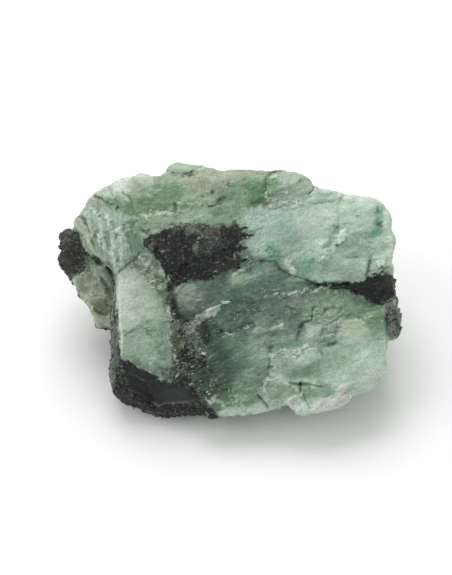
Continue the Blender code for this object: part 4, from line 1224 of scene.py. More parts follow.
def break_gain(survey, paint):
    """How much lighter or darker each point is for the way that the crystal breaks there, with painted
    shade at the foot of each ledge and shelf and small facets painted lit or shaded.
    """
    strong = 0.2 + 0.35 * ramp(brightness(paint), 0.5, 0.15) + 0.65 * survey.broken
    strong += 0.3 * survey.lobe + 0.4 * (1 - survey.front)
    gain = np.ones(len(survey.points))
    for part, depth in ((survey.ledge_part, 0.2), (survey.shelf_part, 0.12)):
        edge = 1 - ramp(part, 0.0, 0.3)
        # painted shade at the foot of each riser
        recess_shade = ramp(part, 0.58, 0.76) * (1 - ramp(part, 0.88, 1.0))
        gain += strong * depth * (edge - recess_shade)
    # each small facet gets its own tone together with painted facet shading
    for size, salt, depth in TONED_AND_SHADED_BREAKS:
        cell, _ = cell_noise(survey.grained, size, salt)
        gain += strong * depth * swing(cell, SALTS["breaks"])
    return gain


def lay_chips(survey, paint, tones, rim):
    """Fresh white plates, pale plate rims and ledge lines with painted highlights, on crystal and schist
    alike.
    """
    patchy = survey.front * (0.7 + 0.3 * ramp(survey.mottle, -0.5, 0.4))
    come_and_go = survey.front * ramp(survey.patchy, -0.35, 0.45)
    for height, bevel, fresh, outline in FACE_PLATES:
        depth = outline_depth(survey.jagged, outline)
        if fresh:
            clean = fresh * (0.7 + 0.3 * ramp(survey.crumb, -0.4, 0.3))
            inside = ramp(depth, -bevel / 2, bevel / 2)
            lay(paint, tones["chip"], np.minimum(0.85 * clean * patchy, 1) * inside)
        # pale rims of the raised plates: white broken edges with painted highlight
        if height > 0:
            lay(paint, tones["chip"], rim * come_and_go * (1 - ramp(np.abs(depth), 0.04, 0.24)))
    # pale ledge lines and painted glints
    for width, line in PALE_LINES_AND_GLINTS:
        gap, run = line_gap(survey.jagged, line)
        wide = taper(width, run) * (0.7 + 0.5 * survey.crumb)
        lay(paint, tones["chip"], 0.8 * patchy * (1 - ramp(gap, wide * 0.5, wide + 0.14)))


def schist_paint(survey, tones):
    """Tones of the schist, laid down all over and shown where the schist is."""
    body = np.tile(tones["soot"], (len(survey.points), 1))
    face = body.copy()
    for name, middle, reach in BODY_SCHIST:
        lay(body, tones[name], ramp(survey.zone_depth(middle, reach), -0.2, 0.1))
    for name, _, outline in SCHIST_OUTLINES:
        lay(face, tones[name], ramp(outline_depth(survey.wavy, outline), -0.6, 0.0))
    face *= (1 + 0.45 * survey.patchy)[:, None]
    lay_patches(face, tones, survey.wavy, SCHIST_PATCHES)
    come_and_go = 0.35 + 0.65 * ramp(survey.mottle, -0.6, 0.5)
    for name, width, strength, line in SCHIST_SEAMS:
        gap, _ = line_gap(survey.crisp, line)
        lay(face, tones[name], strength * come_and_go * (1 - ramp(gap, width * 0.5, width + 0.13)))
    lay(body, face, survey.front)
    lay_chips(survey, body, tones, SCHIST_RIM)
    return body


# How steeply the small facets of each kind lean, in millimetres a millimetre.
FACET_LEAN = 0.1
PLATE_LEAN = 0.12
BOOK_LEAN = 0.25
BLOCK_LEAN = 0.16

# Blocks of schist: their size and the height of the steps between them.
BLOCK_SIZE = 2.6
BLOCK_STEP = 0.28
SWELL_OCTAVES = 2


def surface_relief(survey):
    """How far each point of the break stands proud or lies back, in millimetres."""
    shape = in_millimetres("crystal_shape")
    grained = survey.grained
    crystal = facets(grained, shape.facet_size, SALTS["facets"], shape.facet, FACET_LEAN)
    crystal += facets(grained, shape.plate_size, SALTS["plates"], shape.plate, PLATE_LEAN)
    crystal += shape.ledge * survey.ledge + shape.shelf * survey.shelf
    crystal *= 0.5 + 0.8 * survey.broken
    crystal += (0.03 + 0.06 * survey.broken) * named_noise(grained, "gravel")
    schist = facets(survey.points, shape.schist_size, SALTS["books"], shape.schist_step, BOOK_LEAN)
    schist += facets(survey.points, BLOCK_SIZE, SALTS["blocks"], BLOCK_STEP, BLOCK_LEAN)
    relief = (crystal + (schist - crystal) * survey.buried) * survey.calm
    relief += shape.swell * smooth_noise(survey.points, shape.swell_size, SALTS["swell"], SWELL_OCTAVES)
    relief += shape.sand * named_noise(survey.points, "sand")
    relief += survey.front * face_relief(survey)
    return relief


def face_relief(survey):
    """Plates and cracks of the face."""
    relief = np.zeros(len(survey.points))
    for height, bevel, _, outline in FACE_PLATES:
        relief += height * ramp(outline_depth(survey.jagged, outline), -bevel / 2, bevel / 2)
    for depth, width, line in FACE_CRACKS:
        gap, run = line_gap(survey.crisp, line)
        wide = taper(width, run) * (0.7 + 0.45 * survey.mottle)
        relief -= depth * (1 - ramp(gap, wide * 0.3, np.maximum(wide, 0.05) + 0.18))
    return relief


# ---- materials

# Nearly white and nearly black tones inside the materials, as linear light.
SILK_WHITE = (0.62, 0.7, 0.6, 1.0)
VEIL_WHITE = (0.56, 0.64, 0.55, 1.0)
GRAIN_AND_GLINT_WHITE = (0.66, 0.74, 0.64, 1.0)
GLITTER_GREY = (0.34, 0.36, 0.34, 1.0)
MICA_BLACK = (0.01, 0.011, 0.012, 1.0)
MICA_SHINE = (0.11, 0.11, 0.1, 1.0)
SPLINTER_GREEN = (0.34, 0.46, 0.36, 1.0)
SPLINTER_WHITE = (0.66, 0.74, 0.66, 1.0)

# Gains at the dark and the bright end: clouds, streaks, and fine sugar on a clean and on a broken face.
CLOUD_GAIN = (0.92, 1.08)
STREAK_GAIN = (-0.09, 0.09)
SOFT_SUGAR = (0.72, 1.32)
ROUGH_SUGAR = (0.46, 1.62)

# Small angular breaks, each with its own tone and painted facet shading: length along the grain, width,
# contrast.
TONED_AND_SHADED_BREAK_CELLS = ((2.4, 1.1, 0.22), (0.95, 0.46, 0.16), (0.36, 0.19, 0.34))


class Recipe:
    """A material put together node by node; each step gives its output for the next."""

    def __init__(self, name):
        self.material = bpy.data.materials.new(name)
        self.material.use_nodes = True
        self.nodes = self.material.node_tree.nodes
        self.links = self.material.node_tree.links
        self.surface = self.nodes["Principled BSDF"]
        self.where = self.step("ShaderNodeTexCoord", "Object")

    def step(self, kind, output, values=None, **settings):
        """Adds a node with its settings and inputs, by name or number, and gives the named output."""
        node = self.nodes.new(kind)
        for name, value in settings.items():
            setattr(node, name, value)
        self.fill(node, values or {})
        return node.outputs[output]

    def fill(self, node, values):
        """Links or sets each of a node's named inputs."""
        for name, value in values.items():
            if isinstance(value, bpy.types.NodeSocket):
                self.links.new(value, node.inputs[name])
            else:
                node.inputs[name].default_value = value

    def finish(self, values):
        """Feeds the shader itself and gives the finished material."""
        self.fill(self.surface, values)
        return self.material

    def math(self, operation, first, second=0.0, third=0.0):
        return self.step("ShaderNodeMath", 0, {0: first, 1: second, 2: third}, operation=operation)

    def product(self, first, *others):
        for other in others:
            first = self.math("MULTIPLY", first, other)
        return first

    def between(self, share, first, second):
        """The number that lies that share of the way from the first to the second."""
        return self.math("MULTIPLY_ADD", self.math("SUBTRACT", second, first), share, first)

    def swung(self, value, depth, middle=1.0):
        """A number from 0 to 1, made to swing that deep round another middle."""
        return self.math("MULTIPLY_ADD", self.math("SUBTRACT", value, 0.5), depth, middle)

    def spread(self, value, low, high, to_low=0.0, to_high=1.0):
        """Carries a range of values smoothly onto another range."""
        return self.step(
            "ShaderNodeMapRange", "Result",
            {"Value": value, "From Min": low, "From Max": high, "To Min": to_low, "To Max": to_high},
            interpolation_type="SMOOTHSTEP")

    def grained(self, long, wide=None, deep=None, turn=GRAIN_TURN):
        """Places measured in cells of these sizes in millimetres, along, across and out of the grain."""
        sizes = (long, wide or long, deep or wide or long)
        return self.step(
            "ShaderNodeMapping", "Vector",
            {"Vector": self.where, "Rotation": Matrix(grain_axes(turn)).transposed().to_euler(),
             "Scale": [size * MM for size in sizes]},
            vector_type="TEXTURE")

    def noise(self, place, detail=2.0, roughness=0.6, bend=0.0):
        return self.step(
            "ShaderNodeTexNoise", "Fac",
            {"Vector": place, "Scale": 1.0, "Detail": detail, "Roughness": roughness, "Distortion": bend})

    def wobble(self, size, amount):
        """A smooth shift of places that changes over that many millimetres."""
        return self.scale(self.noise(self.grained(size)), amount)

    def shifted(self, place, shift):
        return self.step("ShaderNodeVectorMath", 0, {0: place, 1: shift}, operation="ADD")

    def cells(self, place, output="Distance", feature="F1"):
        return self.step("ShaderNodeTexVoronoi", output, {"Vector": place, "Scale": 1.0}, feature=feature)

    def own_number(self, place, channel="Red"):
        """A number from 0 to 1 of its own for each cell."""
        return self.step("ShaderNodeSeparateColor", channel, {"Color": self.cells(place, "Color")})

    def attribute(self, name, output="Fac"):
        return self.step("ShaderNodeAttribute", output, attribute_name=name)

    def blend(self, amount, first, second):
        """A colour between two colours."""
        return self.step(
            "ShaderNodeMix", 2, {0: amount, 6: first, 7: second}, data_type="RGBA", blend_type="MIX")

    def scale(self, colour, gain):
        return self.step("ShaderNodeVectorMath", 0, {0: colour, "Scale": gain}, operation="SCALE")

    def bump(self, height, strength, distance):
        """A bumpy normal; its distance is given in millimetres."""
        return self.step(
            "ShaderNodeBump", "Normal", {"Height": height, "Strength": strength, "Distance": distance * MM})


class StoneRecipe(Recipe):
    """Milky green crystal with veils, streaks and white specks that are partly painted glints, and black
    mica schist with painted glints on some grains.
    """

    def __init__(self, name):
        super().__init__(name)
        self.lobe = self.attribute("lobe")
        self.milk = self.attribute("milk")
        self.calm = self.attribute("calm")
        self.white = self.attribute("white")
        self.broken = self.spread(self.white, 0.1, 0.6)
        self.clear = self.spread(self.milk, 0.04, 0.28, 1.0, 0.35)
        self.strong = self.math("MULTIPLY_ADD", self.broken, 0.5, self.clear)
        self.cloud = self.noise(self.grained(2.6, 1.8), 4.0, 0.6, 0.5)
        self.streak = self.between(self.lobe, self.streaks(GRAIN_TURN), self.streaks(LOBE_TURN))
        self.sugar = self.noise(self.grained(0.2, 0.15), 2.0, 0.8)
        self.book = self.own_number(self.grained(0.34, 0.22, 0.24), "Green")
        self.grit = self.noise(self.grained(0.19), 3.0, 0.8)
        self.rough_book = self.spread(self.calm, 0.2, 1.0, 0.35, 1.0)

    def streaks(self, turn):
        """Long streaks along a grain."""
        return self.noise(self.grained(1.5, 0.34, 0.5, turn), 3.0, 0.6, 0.5)

    def schist_share(self):
        """1 in the schist and 0 in the crystal, with a ragged border between them."""
        ragged = self.noise(self.grained(0.62, 0.42), 4.0, 0.7)
        reach = self.spread(self.attribute("mixed"), 0.0, 1.0, 1.4, 4.2)
        return self.spread(self.swung(ragged, reach, self.attribute("schist")), -0.2, 0.2)

    def crystal_gain(self):
        """How much lighter or darker the crystal is for its clouds, streaks, sugar and small breaks, the
        breaks partly painted facet shading.
        """
        streak = self.product(
            self.spread(self.streak, 0.28, 0.72, *STREAK_GAIN),
            self.math("MULTIPLY_ADD", self.lobe, 1.4, self.clear))
        soft = self.spread(self.sugar, 0.3, 0.7, *SOFT_SUGAR)
        rough = self.spread(self.sugar, 0.3, 0.7, *ROUGH_SUGAR)
        gain = self.product(
            self.spread(self.cloud, 0.3, 0.7, *CLOUD_GAIN), self.math("ADD", streak, 1.0),
            self.between(self.broken, soft, rough))
        shown = self.product(self.strong, self.math("MULTIPLY_ADD", self.lobe, -0.75, 1.0))
        wobble = self.wobble(0.8, 0.5)
        for long, wide, contrast in TONED_AND_SHADED_BREAK_CELLS:
            own = self.own_number(self.shifted(self.grained(long, wide), wobble))
            gain = self.product(gain, self.swung(own, self.product(shown, contrast)))
        return gain

    def with_silk(self, green):
        """Silky white lines along the grain, where the crystal is clear or broken."""
        line = self.spread(self.noise(self.grained(3.2, 0.15, 0.3), 2.0, 0.6, 0.8), 0.62, 0.69)
        shown = self.spread(self.cloud, 0.42, 0.6)
        strength = self.math("MULTIPLY_ADD", self.strong, 0.5, 0.12)
        return self.blend(self.product(line, shown, strength), green, SILK_WHITE)

    def with_veils(self, green):
        """White veils inside milky crystal."""
        veil = self.spread(self.noise(self.grained(1.7, 0.7, 0.8), 4.0, 0.7, 1.2), 0.52, 0.7)
        return self.blend(self.product(veil, self.milk), green, VEIL_WHITE)

    def with_healed_cracks(self, green):
        """Thin darker lines that come and go."""
        place = self.shifted(self.grained(4.6, 2.4, 2.8), self.wobble(1.4, 0.9))
        line = self.spread(self.cells(place, feature="DISTANCE_TO_EDGE"), 0.0, 0.03, 1.0, 0.0)
        shown = self.spread(self.cloud, 0.46, 0.6)
        return self.scale(green, self.math("SUBTRACT", 1.0, self.product(line, shown, 0.28)))

    def specks(self):
        """White specks, partly pale broken grains and partly painted glints, thickest where the crystal is
        most broken.
        """
        place = self.shifted(self.grained(0.7, 0.26, 0.34), self.wobble(0.5, 1.6))
        rank = self.math("SUBTRACT", self.own_number(place), self.product(self.white, 0.55))
        chosen = self.spread(rank, -0.1, 0.03, 1.0, 0.0)
        return self.product(chosen, self.spread(self.cells(place), 0.1, 0.42, 1.0, 0.0))

    def schist_colour(self):
        """Books of mica, each its own grey, some catching the light."""
        book_gain = self.swung(self.book, self.rough_book, 0.85)
        grit_gain = self.swung(self.grit, self.product(self.rough_book, 3.2), 0.85)
        black = self.scale(self.attribute("schist_tint", "Color"), self.product(book_gain, grit_gain))
        clump = self.noise(self.grained(1.7))
        glitter = self.own_number(self.grained(0.36, 0.17, 0.2))
        bright = self.spread(self.math("MULTIPLY_ADD", clump, 0.26, glitter), 1.03, 1.1)
        rough = self.spread(self.calm, 0.3, 0.9)
        shown = self.spread(self.grit, 0.44, 0.62, 0.1, 0.85)
        return self.blend(self.product(bright, rough, shown), black, GLITTER_GREY)

    def crystal_height(self, pale_grain_and_glint):
        """Fine relief of the crystal: sugar, streaks and specks."""
        sugar = self.product(self.sugar, self.spread(self.broken, 0.0, 1.0, 0.3, 1.2))
        return self.math("MULTIPLY_ADD", pale_grain_and_glint, 0.35, self.math("MULTIPLY_ADD", self.streak, 0.35, sugar))

    def schist_height(self):
        """Fine relief of the schist: books of mica and grit."""
        return self.product(self.math("MULTIPLY_ADD", self.book, 0.8, self.grit), self.rough_book)


def stone_material():
    """Green crystal and black schist in one material, for the one surface that they share."""
    made = StoneRecipe("raw_emerald_in_schist")
    schist = made.schist_share()
    green = made.scale(made.attribute("tint", "Color"), made.crystal_gain())
    green = made.with_healed_cracks(made.with_veils(made.with_silk(green)))
    pale_grain_and_glint = made.specks()
    # white specks: pale broken grains and painted glints
    green = made.blend(made.product(pale_grain_and_glint, 0.7), green, GRAIN_AND_GLINT_WHITE)
    crystal_rough = made.spread(made.streak, 0.3, 0.7, 0.3, 0.5)
    schist_rough = made.spread(made.book, 0.0, 1.0, 0.34, 0.62)
    height = made.between(schist, made.crystal_height(pale_grain_and_glint), made.schist_height())
    return made.finish({
        "Base Color": made.blend(schist, green, made.schist_colour()),
        "Roughness": made.between(schist, crystal_rough, schist_rough),
        "Normal": made.bump(height, 0.7, 0.15),
        "Subsurface Weight": made.spread(schist, 0.0, 1.0, 0.35, 0.0),
        "Subsurface Radius": (0.7, 1.1, 0.85),
        "Subsurface Scale": 0.9 * MM,
        "Specular IOR Level": 0.36,
        "IOR": 1.5,
    })


def mica_material():
    """Thin flakes of dark mica with a pearly shine."""
    made = Recipe("mica_flake")
    patch = made.noise(made.grained(0.5))
    return made.finish({
        "Base Color": made.blend(made.spread(patch, 0.52, 0.74), MICA_BLACK, MICA_SHINE),
        "Roughness": made.spread(patch, 0.3, 0.7, 0.22, 0.42),
        "Normal": made.bump(patch, 0.3, 0.05),
        "Specular IOR Level": 0.5,
    })


def splinter_material():
    """Fresh splinters of crystal, nearly white."""
    made = Recipe("crystal_splinter")
    patch = made.noise(made.grained(0.9, 0.3), 3.0)
    return made.finish({
        "Base Color": made.blend(made.spread(patch, 0.3, 0.7), SPLINTER_GREEN, SPLINTER_WHITE),
        "Roughness": made.spread(patch, 0.3, 0.7, 0.25, 0.45),
        "Normal": made.bump(patch, 0.4, 0.06),
        "Subsurface Weight": 0.25,
        "Subsurface Radius": (0.6, 0.9, 0.7),
        "Subsurface Scale": 0.5 * MM,
    })


def floor_material():
    """A plain matt floor."""
    made = Recipe("plain_floor")
    return made.finish({
        "Base Color": (*linear(bpy.context.scene.crystal_stage.floor), 1.0),
        "Roughness": 0.9,
        "Specular IOR Level": 0.0,
    })


# ---- the stone's surface

# Rows of broken white crystal and painted glints: half width, strength, line (u, v).
WHITE_AND_GLINT_BANDS = (
    (0.7, 0.75, ((-19, 10.4), (-16.6, 12.4), (-14.5, 13), (-11.2, 13.4), (-8.8, 13.6), (-8.4, 15.2))),
    (0.5, 0.6, ((-15, 10.3), (-12.8, 10.2), (-11, 10.5), (-9.2, 11))),
    (0.5, 0.45, ((-9, 15.2), (-6, 14.6), (-3.6, 15.6))),
    (0.6, 0.5, ((3.6, 14.2), (5.8, 14.5), (8.2, 14.4), (11, 14.4), (13.4, 14.9))),
    (0.6, 0.45, ((7, 19.4), (7.4, 16.4), (9, 15.4), (12.6, 15.5))),
    (1, 0.55, ((4.4, 4.4), (6.2, 5.4), (8.2, 6.4), (9.8, 5.4), (11, 5.4))),
    (0.4, 0.85, ((11.3, 5.5), (11.9, 4.2), (12.2, 2.2))),
    (0.6, 0.55, ((17.4, 5), (18.4, 7), (19.2, 9), (19.8, 10.6))),
    (0.8, 0.55, ((25.4, 8.2), (26.2, 7.6), (27.4, 7.4), (26.4, 5), (27.6, 4.4), (29.4, 3.8), (28.2, 2.6))),
    (0.9, 0.75, ((-16.6, 4.6), (-14, 2.2), (-12, 0), (-10.6, -2.6), (-9.9, -5.4))),
    (0.6, 0.7, ((-9.8, -6), (-9.9, -9.4), (-9.3, -12.6), (-8.9, -14.8), (-9.8, -15.2))),
    (1.2, 0.55, ((-7.4, -11), (-5.4, -11.6), (-3.4, -12.6), (-5.4, -14.6), (-8.2, -15.2))),
    (1, 0.45, ((-15, -7.6), (-12.4, -9), (-11.2, -11.8), (-13.4, -13))),
    (1.2, 0.4, ((1, -5.2), (4, -4.4), (7.6, -2.4), (9.4, -0.9))),
    (0.6, 0.6, ((-1.2, -8.6), (1, -8.2), (3.4, -7.4), (5, -7))),
    (1, 0.6, ((-3.2, -18.4), (-1.4, -17.4), (0.4, -18.6), (1.6, -20.4), (3.2, -21.4), (0.2, -21.2))),
    (0.6, 0.85, ((8.4, -12.2), (8.3, -13.6), (8.8, -15), (8.4, -16.2))),
    (0.6, 0.75, ((9.4, -12), (11.2, -12.6), (12.8, -12.2), (14.2, -10.9), (16.4, -11.4), (17.4, -12))),
    (1.6, 0.5, ((15.6, -5.4), (17.4, -6.2), (19.4, -7), (18.2, -8.4))),
    (0.8, 0.45, ((16.6, -3.4), (18.8, -3.6), (20.6, -5), (23.2, -5.4), (26, -5.2))),
    (0.7, 0.45, ((14, -1), (16.6, -0.4), (19.6, -0.9), (21, -1.6))),
    (0.6, 0.6, ((30, -1.6), (30.1, -3.2), (30.3, -5))),
    (1.2, 0.3, ((-23, 10), (-21.4, 7.4), (-19.6, 5.6), (-18.6, 6.8))),
    (0.9, 0.45, ((-25.6, 2.2), (-24.4, 2.6), (-24.4, 4))),
    (0.9, 0.55, ((-14.4, 5), (-12.8, 4.2), (-12.2, 2.8))),
    (0.5, 0.6, ((-8.4, -20.4), (-6.6, -20.7), (-4.4, -20.5))),
    (0.7, 0.45, ((1, 9), (2.4, 7.4), (2.6, 5.6))),
)


# How cloudy dark and pale crystal is, and what counts as dark and as pale.
MILKINESS = (0.04, 0.3)
MILK_TONES = (0.1, 0.5)


def milk_paint(paint):
    """How cloudy the crystal is: the paler it is, the milkier."""
    least, most = MILKINESS
    return least + (most - least) * ramp(brightness(paint), *MILK_TONES)


def link(data, name, material=None):
    """Puts a mesh, a lamp or a camera into the scene as a named object."""
    made = bpy.data.objects.new(name, data)
    bpy.context.scene.collection.objects.link(made)
    if material:
        data.materials.clear()
        data.materials.append(material)
    return made


def evaluated_mesh(item):
    """A new mesh with the object's modifiers carried out."""
    ready = item.evaluated_get(bpy.context.evaluated_depsgraph_get())
    return bpy.data.meshes.new_from_object(ready)


def numbers(mesh_part, field, width):
    """One field of all the vertices as rows of numbers."""
    values = np.empty(len(mesh_part) * width, np.float32)
    mesh_part.foreach_get(field, values)
    return values.astype(float).reshape(-1, width)


# How squarely a face of the mesh must look outward to be split, and how deep in it may lie.
REFINED_TURN = 0.25
REFINED_DEPTH = -10.0


def refine_face(mesh):
    """Splits the mesh of the broad broken face once more, so that its breaks are crisp."""
    shape = bmesh.new()
    shape.from_mesh(mesh)
    outward = Vector(OUTWARD)
    middle = Vector(FACE_CENTRE) * MM
    chosen = set()
    for face in shape.faces:
        deep = (face.calc_center_median() - middle).dot(outward) / MM
        if face.normal.dot(outward) > REFINED_TURN and deep > REFINED_DEPTH:
            chosen.update(face.edges)
    bmesh.ops.subdivide_edges(shape, edges=list(chosen), cuts=1, use_grid_fill=True)
    shape.to_mesh(mesh)
    shape.free()


def fine_stone():
    """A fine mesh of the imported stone, with its edges softened."""
    shape = in_millimetres("crystal_shape")
    rough = link(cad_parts[NODE].data.copy(), "rough stone")
    grain = rough.modifiers.new("grain", "REMESH")
    grain.mode = "VOXEL"
    grain.voxel_size = shape.grain * MM
    soften = rough.modifiers.new("soften", "SMOOTH")
    soften.factor = 0.5
    soften.iterations = shape.softening
    mesh = evaluated_mesh(rough)
    bpy.data.objects.remove(rough, do_unlink=True)
    refine_face(mesh)
    return mesh


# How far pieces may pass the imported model's box, as a share of its side.
BOX_SPARE = 0.02


def keep_in_box(points):
    """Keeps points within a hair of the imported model's box, and off the ground below it."""
    low = np.array(CAD_BOX[0]) / MM
    high = np.array(CAD_BOX[1]) / MM
    spare = (high - low) * BOX_SPARE
    low_limit = low - spare
    low_limit[2] = 0.0
    return np.clip(points, low_limit, high + spare)


def paint_attribute(mesh, name, values, kind="FLOAT"):
    """Stores a number or a colour for each vertex."""
    attribute = mesh.attributes.new(name, kind, "POINT")
    if kind == "FLOAT_COLOR":
        values = np.concatenate((values, np.ones((len(values), 1))), axis=1)
        attribute.data.foreach_set("color", values.astype(np.float32).ravel())
    else:
        attribute.data.foreach_set("value", values.astype(np.float32))


def build_stone():
    """The stone's own surface, cut and painted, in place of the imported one."""
    mesh = fine_stone()
    points = numbers(mesh.vertices, "co", 3) / MM
    normals = numbers(mesh.vertices, "normal", 3)
    survey = Survey(points, normals)
    tones = palette()
    cut = keep_in_box(points + normals * surface_relief(survey)[:, None])
    mesh.vertices.foreach_set("co", (cut * MM).astype(np.float32).ravel())
    mesh.update()
    paint = crystal_paint(survey, tones)
    paint_attribute(mesh, "tint", paint, "FLOAT_COLOR")
    paint_attribute(mesh, "schist_tint", schist_paint(survey, tones), "FLOAT_COLOR")
    paint_attribute(mesh, "milk", milk_paint(paint))
    for name in ("schist", "white", "calm", "mixed", "lobe"):
        paint_attribute(mesh, name, getattr(survey, name))
    mesh.shade_smooth()
    stone = link(mesh, "emerald_stone", stone_material())
    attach(stone, BODY)
    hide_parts(NODE)


class CRYSTAL_OT_stone(bpy.types.Operator):
    """Make the broken, painted surface of the stone"""

    bl_idname = "crystal.stone"
    bl_label = "Stone Surface"

    def execute(self, context):
        build_stone()
        return {"FINISHED"}


# ---- mica flakes and splinters

# Between these heights over the ground, pieces grow from none to as many as elsewhere.
OFF_GROUND = (0.8, 2.0)

# Mica flakes: share on calm schist, lean, spread of sizes, corners between these shares of the half size,
# narrowness, thickness over the middle.
FLAKE_CORNERS = 6
FLAKE_SEED = 11
FLAKE_LEAST = 0.05
FLAKE_LEAN = 0.2
FLAKE_SPREAD = 0.38
FLAKE_REACH = (0.65, 1.1)
FLAKE_NARROW = 0.8
FLAKE_TOP = 0.6

# Splinters: share on whole crystal, lean, spread of sizes, width as a share of the length, corners between
# these shares of the half size, depth of the foot in millimetres, size of the top and its height by width.
SPLINTER_CORNERS = 5
SPLINTER_SEED = 23
SPLINTER_LEAST = 0.03
SPLINTER_LEAN = 0.35
SPLINTER_SPREAD = 0.45
SPLINTER_WIDTH = (0.2, 0.5)
SPLINTER_REACH = (0.7, 1.15)
SPLINTER_FOOT = 0.14
SPLINTER_TOP = 0.72
SPLINTER_RISE = 0.3


def stone_values(name):
    """Values stored on the stone's vertices."""
    return numbers(bpy.data.objects["emerald_stone"].data.attributes[name].data, "value", 1)[:, 0]


def scatter(weight, number, seed):
    """Vertices of the stone picked by weight: the random numbers, then places and normals."""
    vertices = bpy.data.objects["emerald_stone"].data.vertices
    points = numbers(vertices, "co", 3) / MM
    weight = weight * ramp(points[:, 2], *OFF_GROUND)
    random = np.random.default_rng(seed)
    picked = random.choice(len(weight), size=number, replace=False, p=weight / weight.sum())
    return random, points[picked], numbers(vertices, "normal", 3)[picked]


def unit(vectors):
    """Vectors brought to length 1."""
    return vectors / np.maximum(np.linalg.norm(vectors, axis=1, keepdims=True), 1e-9)


def tilted_frames(normals, lean, random):
    """Two directions across each leaning normal, and the leaning normal."""
    up = unit(normals + lean * random.normal(size=normals.shape))
    first = unit(np.cross(up, random.normal(size=normals.shape)))
    return first, np.cross(up, first), up


def rings(first, beside, half_lengths, half_widths):
    """Rings of points with the reach of each corner along two directions."""
    count = half_lengths.shape[1]
    angles = np.arange(count) / count * 2 * math.pi
    along = np.cos(angles)[None, :, None] * first[:, None] * half_lengths[..., None]
    return along + np.sin(angles)[None, :, None] * beside[:, None] * half_widths[..., None]


def prisms(name, rings_low, rings_high, material):
    """One piece of closed little prisms from their lower and upper rings of points."""
    rings_low = keep_in_box(rings_low)
    rings_high = keep_in_box(rings_high)
    total, corners, _ = rings_low.shape
    points = np.concatenate((rings_low, rings_high), axis=1).reshape(-1, 3) * MM
    faces = []
    for number in range(total):
        low = number * corners * 2
        high = low + corners
        faces.append(tuple(range(low + corners - 1, low - 1, -1)))
        faces.append(tuple(range(high, high + corners)))
        for here in range(corners):
            after = (here + 1) % corners
            faces.append((low + here, low + after, high + after, high + here))
    mesh = bpy.data.meshes.new(name)
    mesh.from_pydata(points.tolist(), [], faces)
    mesh.update()
    made = link(mesh, name, material)
    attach(made, BODY)


def build_flakes():
    """Mica flakes lying on the schist, most where it is rough."""
    trim = in_millimetres("crystal_trim")
    rough = FLAKE_LEAST + ramp(stone_values("calm"), 0.5, 1.0)
    weight = ramp(stone_values("schist"), 0.15, 0.8) * rough
    random, places, normals = scatter(weight, trim.flakes, FLAKE_SEED)
    across, beside, up = tilted_frames(normals, FLAKE_LEAN, random)
    half = trim.flake_size * np.exp(FLAKE_SPREAD * random.normal(size=trim.flakes)) / 2
    reach = half[:, None] * random.uniform(*FLAKE_REACH, (trim.flakes, FLAKE_CORNERS))
    middle = places[:, None] + rings(across, beside, reach, reach * FLAKE_NARROW)
    rise = trim.flake_thickness * up[:, None]
    prisms("mica_flakes", middle - rise, middle + rise * FLAKE_TOP, mica_material())


def build_splinters():
    """Splinters along the grain, most where the crystal is broken white."""
    trim = in_millimetres("crystal_trim")
    broken = SPLINTER_LEAST + ramp(stone_values("white"), 0.25, 0.7)
    weight = broken * ramp(-stone_values("schist"), -0.9, 0.3)
    random, places, normals = scatter(weight, trim.splinters, SPLINTER_SEED)
    grain = grain_axes(GRAIN_TURN)[0]
    lean = SPLINTER_LEAN * random.normal(size=normals.shape)
    run = unit(grain - normals * (normals @ grain)[:, None] + lean)
    beside = unit(np.cross(normals, run))
    long = trim.splinter_size * np.exp(SPLINTER_SPREAD * random.normal(size=trim.splinters)) / 2
    wide = long * random.uniform(*SPLINTER_WIDTH, trim.splinters)
    reach = random.uniform(*SPLINTER_REACH, (trim.splinters, SPLINTER_CORNERS))
    ring = rings(run, beside, long[:, None] * reach, wide[:, None] * reach)
    foot = places[:, None] + ring - normals[:, None] * SPLINTER_FOOT
    rise = normals[:, None] * (wide * SPLINTER_RISE)[:, None, None]
    top = places[:, None] + ring * SPLINTER_TOP + rise
    prisms("crystal_splinters", foot, top, splinter_material())


class CRYSTAL_OT_mica(bpy.types.Operator):
    """Set mica flakes on the schist"""

    bl_idname = "crystal.mica"
    bl_label = "Mica Flakes"

    def execute(self, context):
        build_flakes()
        return {"FINISHED"}


class CRYSTAL_OT_splinters(bpy.types.Operator):
    """Set white splinters where the crystal is broken"""

    bl_idname = "crystal.splinters"
    bl_label = "Crystal Splinters"

    def execute(self, context):
        build_splinters()
        return {"FINISHED"}


# ---- stage

FLOOR_SIDE = 3.0
FLOOR_DROP = 0.00003
CLIP_START = 0.01
LAMP_TABLE = (
    # name, setting with its power, place in metres, side in metres
    ("top lamp", "top_lamp", (-0.08, 0.41, 0.63), 0.55),
    ("side lamp", "side_lamp", (-0.6, -0.1, 0.5), 0.5),
)


def build_floor():
    """A wide floor a hair below the stone."""
    half = FLOOR_SIDE / 2
    mesh = bpy.data.meshes.new("floor")
    corners = ((-half, -half), (half, -half), (half, half), (-half, half))
    mesh.from_pydata([(x, y, -FLOOR_DROP) for x, y in corners], [], [(0, 1, 2, 3)])
    link(mesh, "floor", floor_material())


def build_lamps():
    """Square lamps that look at the middle of the broken face."""
    stage = bpy.context.scene.crystal_stage
    aim = Vector(FACE_CENTRE) * MM
    for name, setting, place, side in LAMP_TABLE:
        lamp = bpy.data.lights.new(name, "AREA")
        lamp.energy = getattr(stage, setting)
        lamp.size = side
        holder = link(lamp, name)
        holder.location = place
        holder.rotation_euler = (aim - Vector(place)).to_track_quat("-Z", "Y").to_euler()


def build_sky():
    """Soft white light from all sides."""
    world = bpy.data.worlds.new("soft white room")
    world.use_nodes = True
    ground = world.node_tree.nodes["Background"]
    ground.inputs["Color"].default_value = (1.0, 1.0, 1.0, 1.0)
    ground.inputs["Strength"].default_value = bpy.context.scene.crystal_stage.sky
    bpy.context.scene.world = world


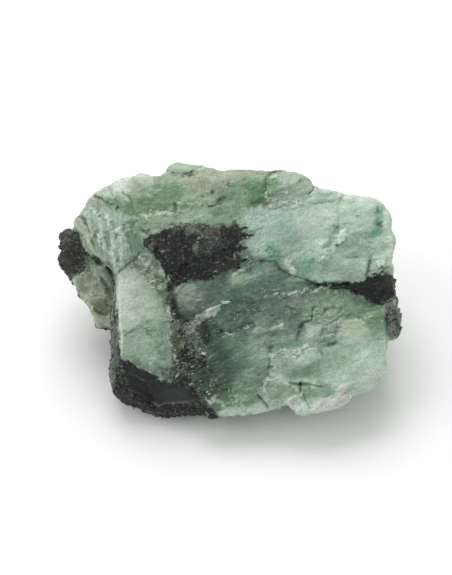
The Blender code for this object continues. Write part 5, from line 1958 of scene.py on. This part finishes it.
def build_camera():
    """A camera that looks square at the broken face."""
    camera = bpy.data.cameras.new("camera")
    camera.lens = bpy.context.scene.crystal_stage.lens
    camera.clip_start = CLIP_START
    holder = link(camera, "camera")
    turn = Matrix((ACROSS, UPWARD, OUTWARD)).transposed().to_4x4()
    place = Vector((FACE_CENTRE + OUTWARD * VIEW_DISTANCE) * MM)
    holder.matrix_world = Matrix.Translation(place) @ turn
    bpy.context.scene.camera = holder


class CRYSTAL_OT_stage(bpy.types.Operator):
    """Set up the plain floor, the soft lamps and the camera"""

    bl_idname = "crystal.stage"
    bl_label = "Stage"

    def execute(self, context):
        build_floor()
        build_lamps()
        build_sky()
        build_camera()
        context.scene.view_settings.view_transform = "Standard"
        return {"FINISHED"}


# ---- panel and running

PIECE_OPERATORS = (CRYSTAL_OT_stone, CRYSTAL_OT_mica, CRYSTAL_OT_splinters, CRYSTAL_OT_stage)
SETTINGS = {
    "crystal_shape": CrystalShape,
    "crystal_trim": CrystalTrim,
    "crystal_tones": CrystalTones,
    "crystal_stage": CrystalStage,
}


class CRYSTAL_PT_emerald(bpy.types.Panel):
    """The stone's settings and the operators that build it"""

    bl_idname = "CRYSTAL_PT_emerald"
    bl_label = "Raw Emerald Crystal"
    bl_space_type = "VIEW_3D"
    bl_region_type = "UI"
    bl_category = "Emerald"

    def draw(self, context):
        for operator in PIECE_OPERATORS:
            self.layout.operator(operator.bl_idname)
        for name, group in SETTINGS.items():
            box = self.layout.box()
            for field in group.__annotations__:
                box.prop(getattr(context.scene, name), field)


CLASSES = (*SETTINGS.values(), *PIECE_OPERATORS, CRYSTAL_PT_emerald)


def register():
    for made in CLASSES:
        bpy.utils.register_class(made)
    for name, group in SETTINGS.items():
        setattr(bpy.types.Scene, name, bpy.props.PointerProperty(type=group))


def unregister():
    for name in SETTINGS:
        delattr(bpy.types.Scene, name)
    for made in reversed(CLASSES):
        bpy.utils.unregister_class(made)


def corners(box):
    """Low and high corner as plain lists."""
    return [list(corner) for corner in box]


def main():
    """Builds every piece and the stage."""
    register()
    bpy.ops.crystal.stone()
    bpy.ops.crystal.mica()
    bpy.ops.crystal.splinters()
    bpy.ops.crystal.stage()


if __name__ == "__main__":
    main()
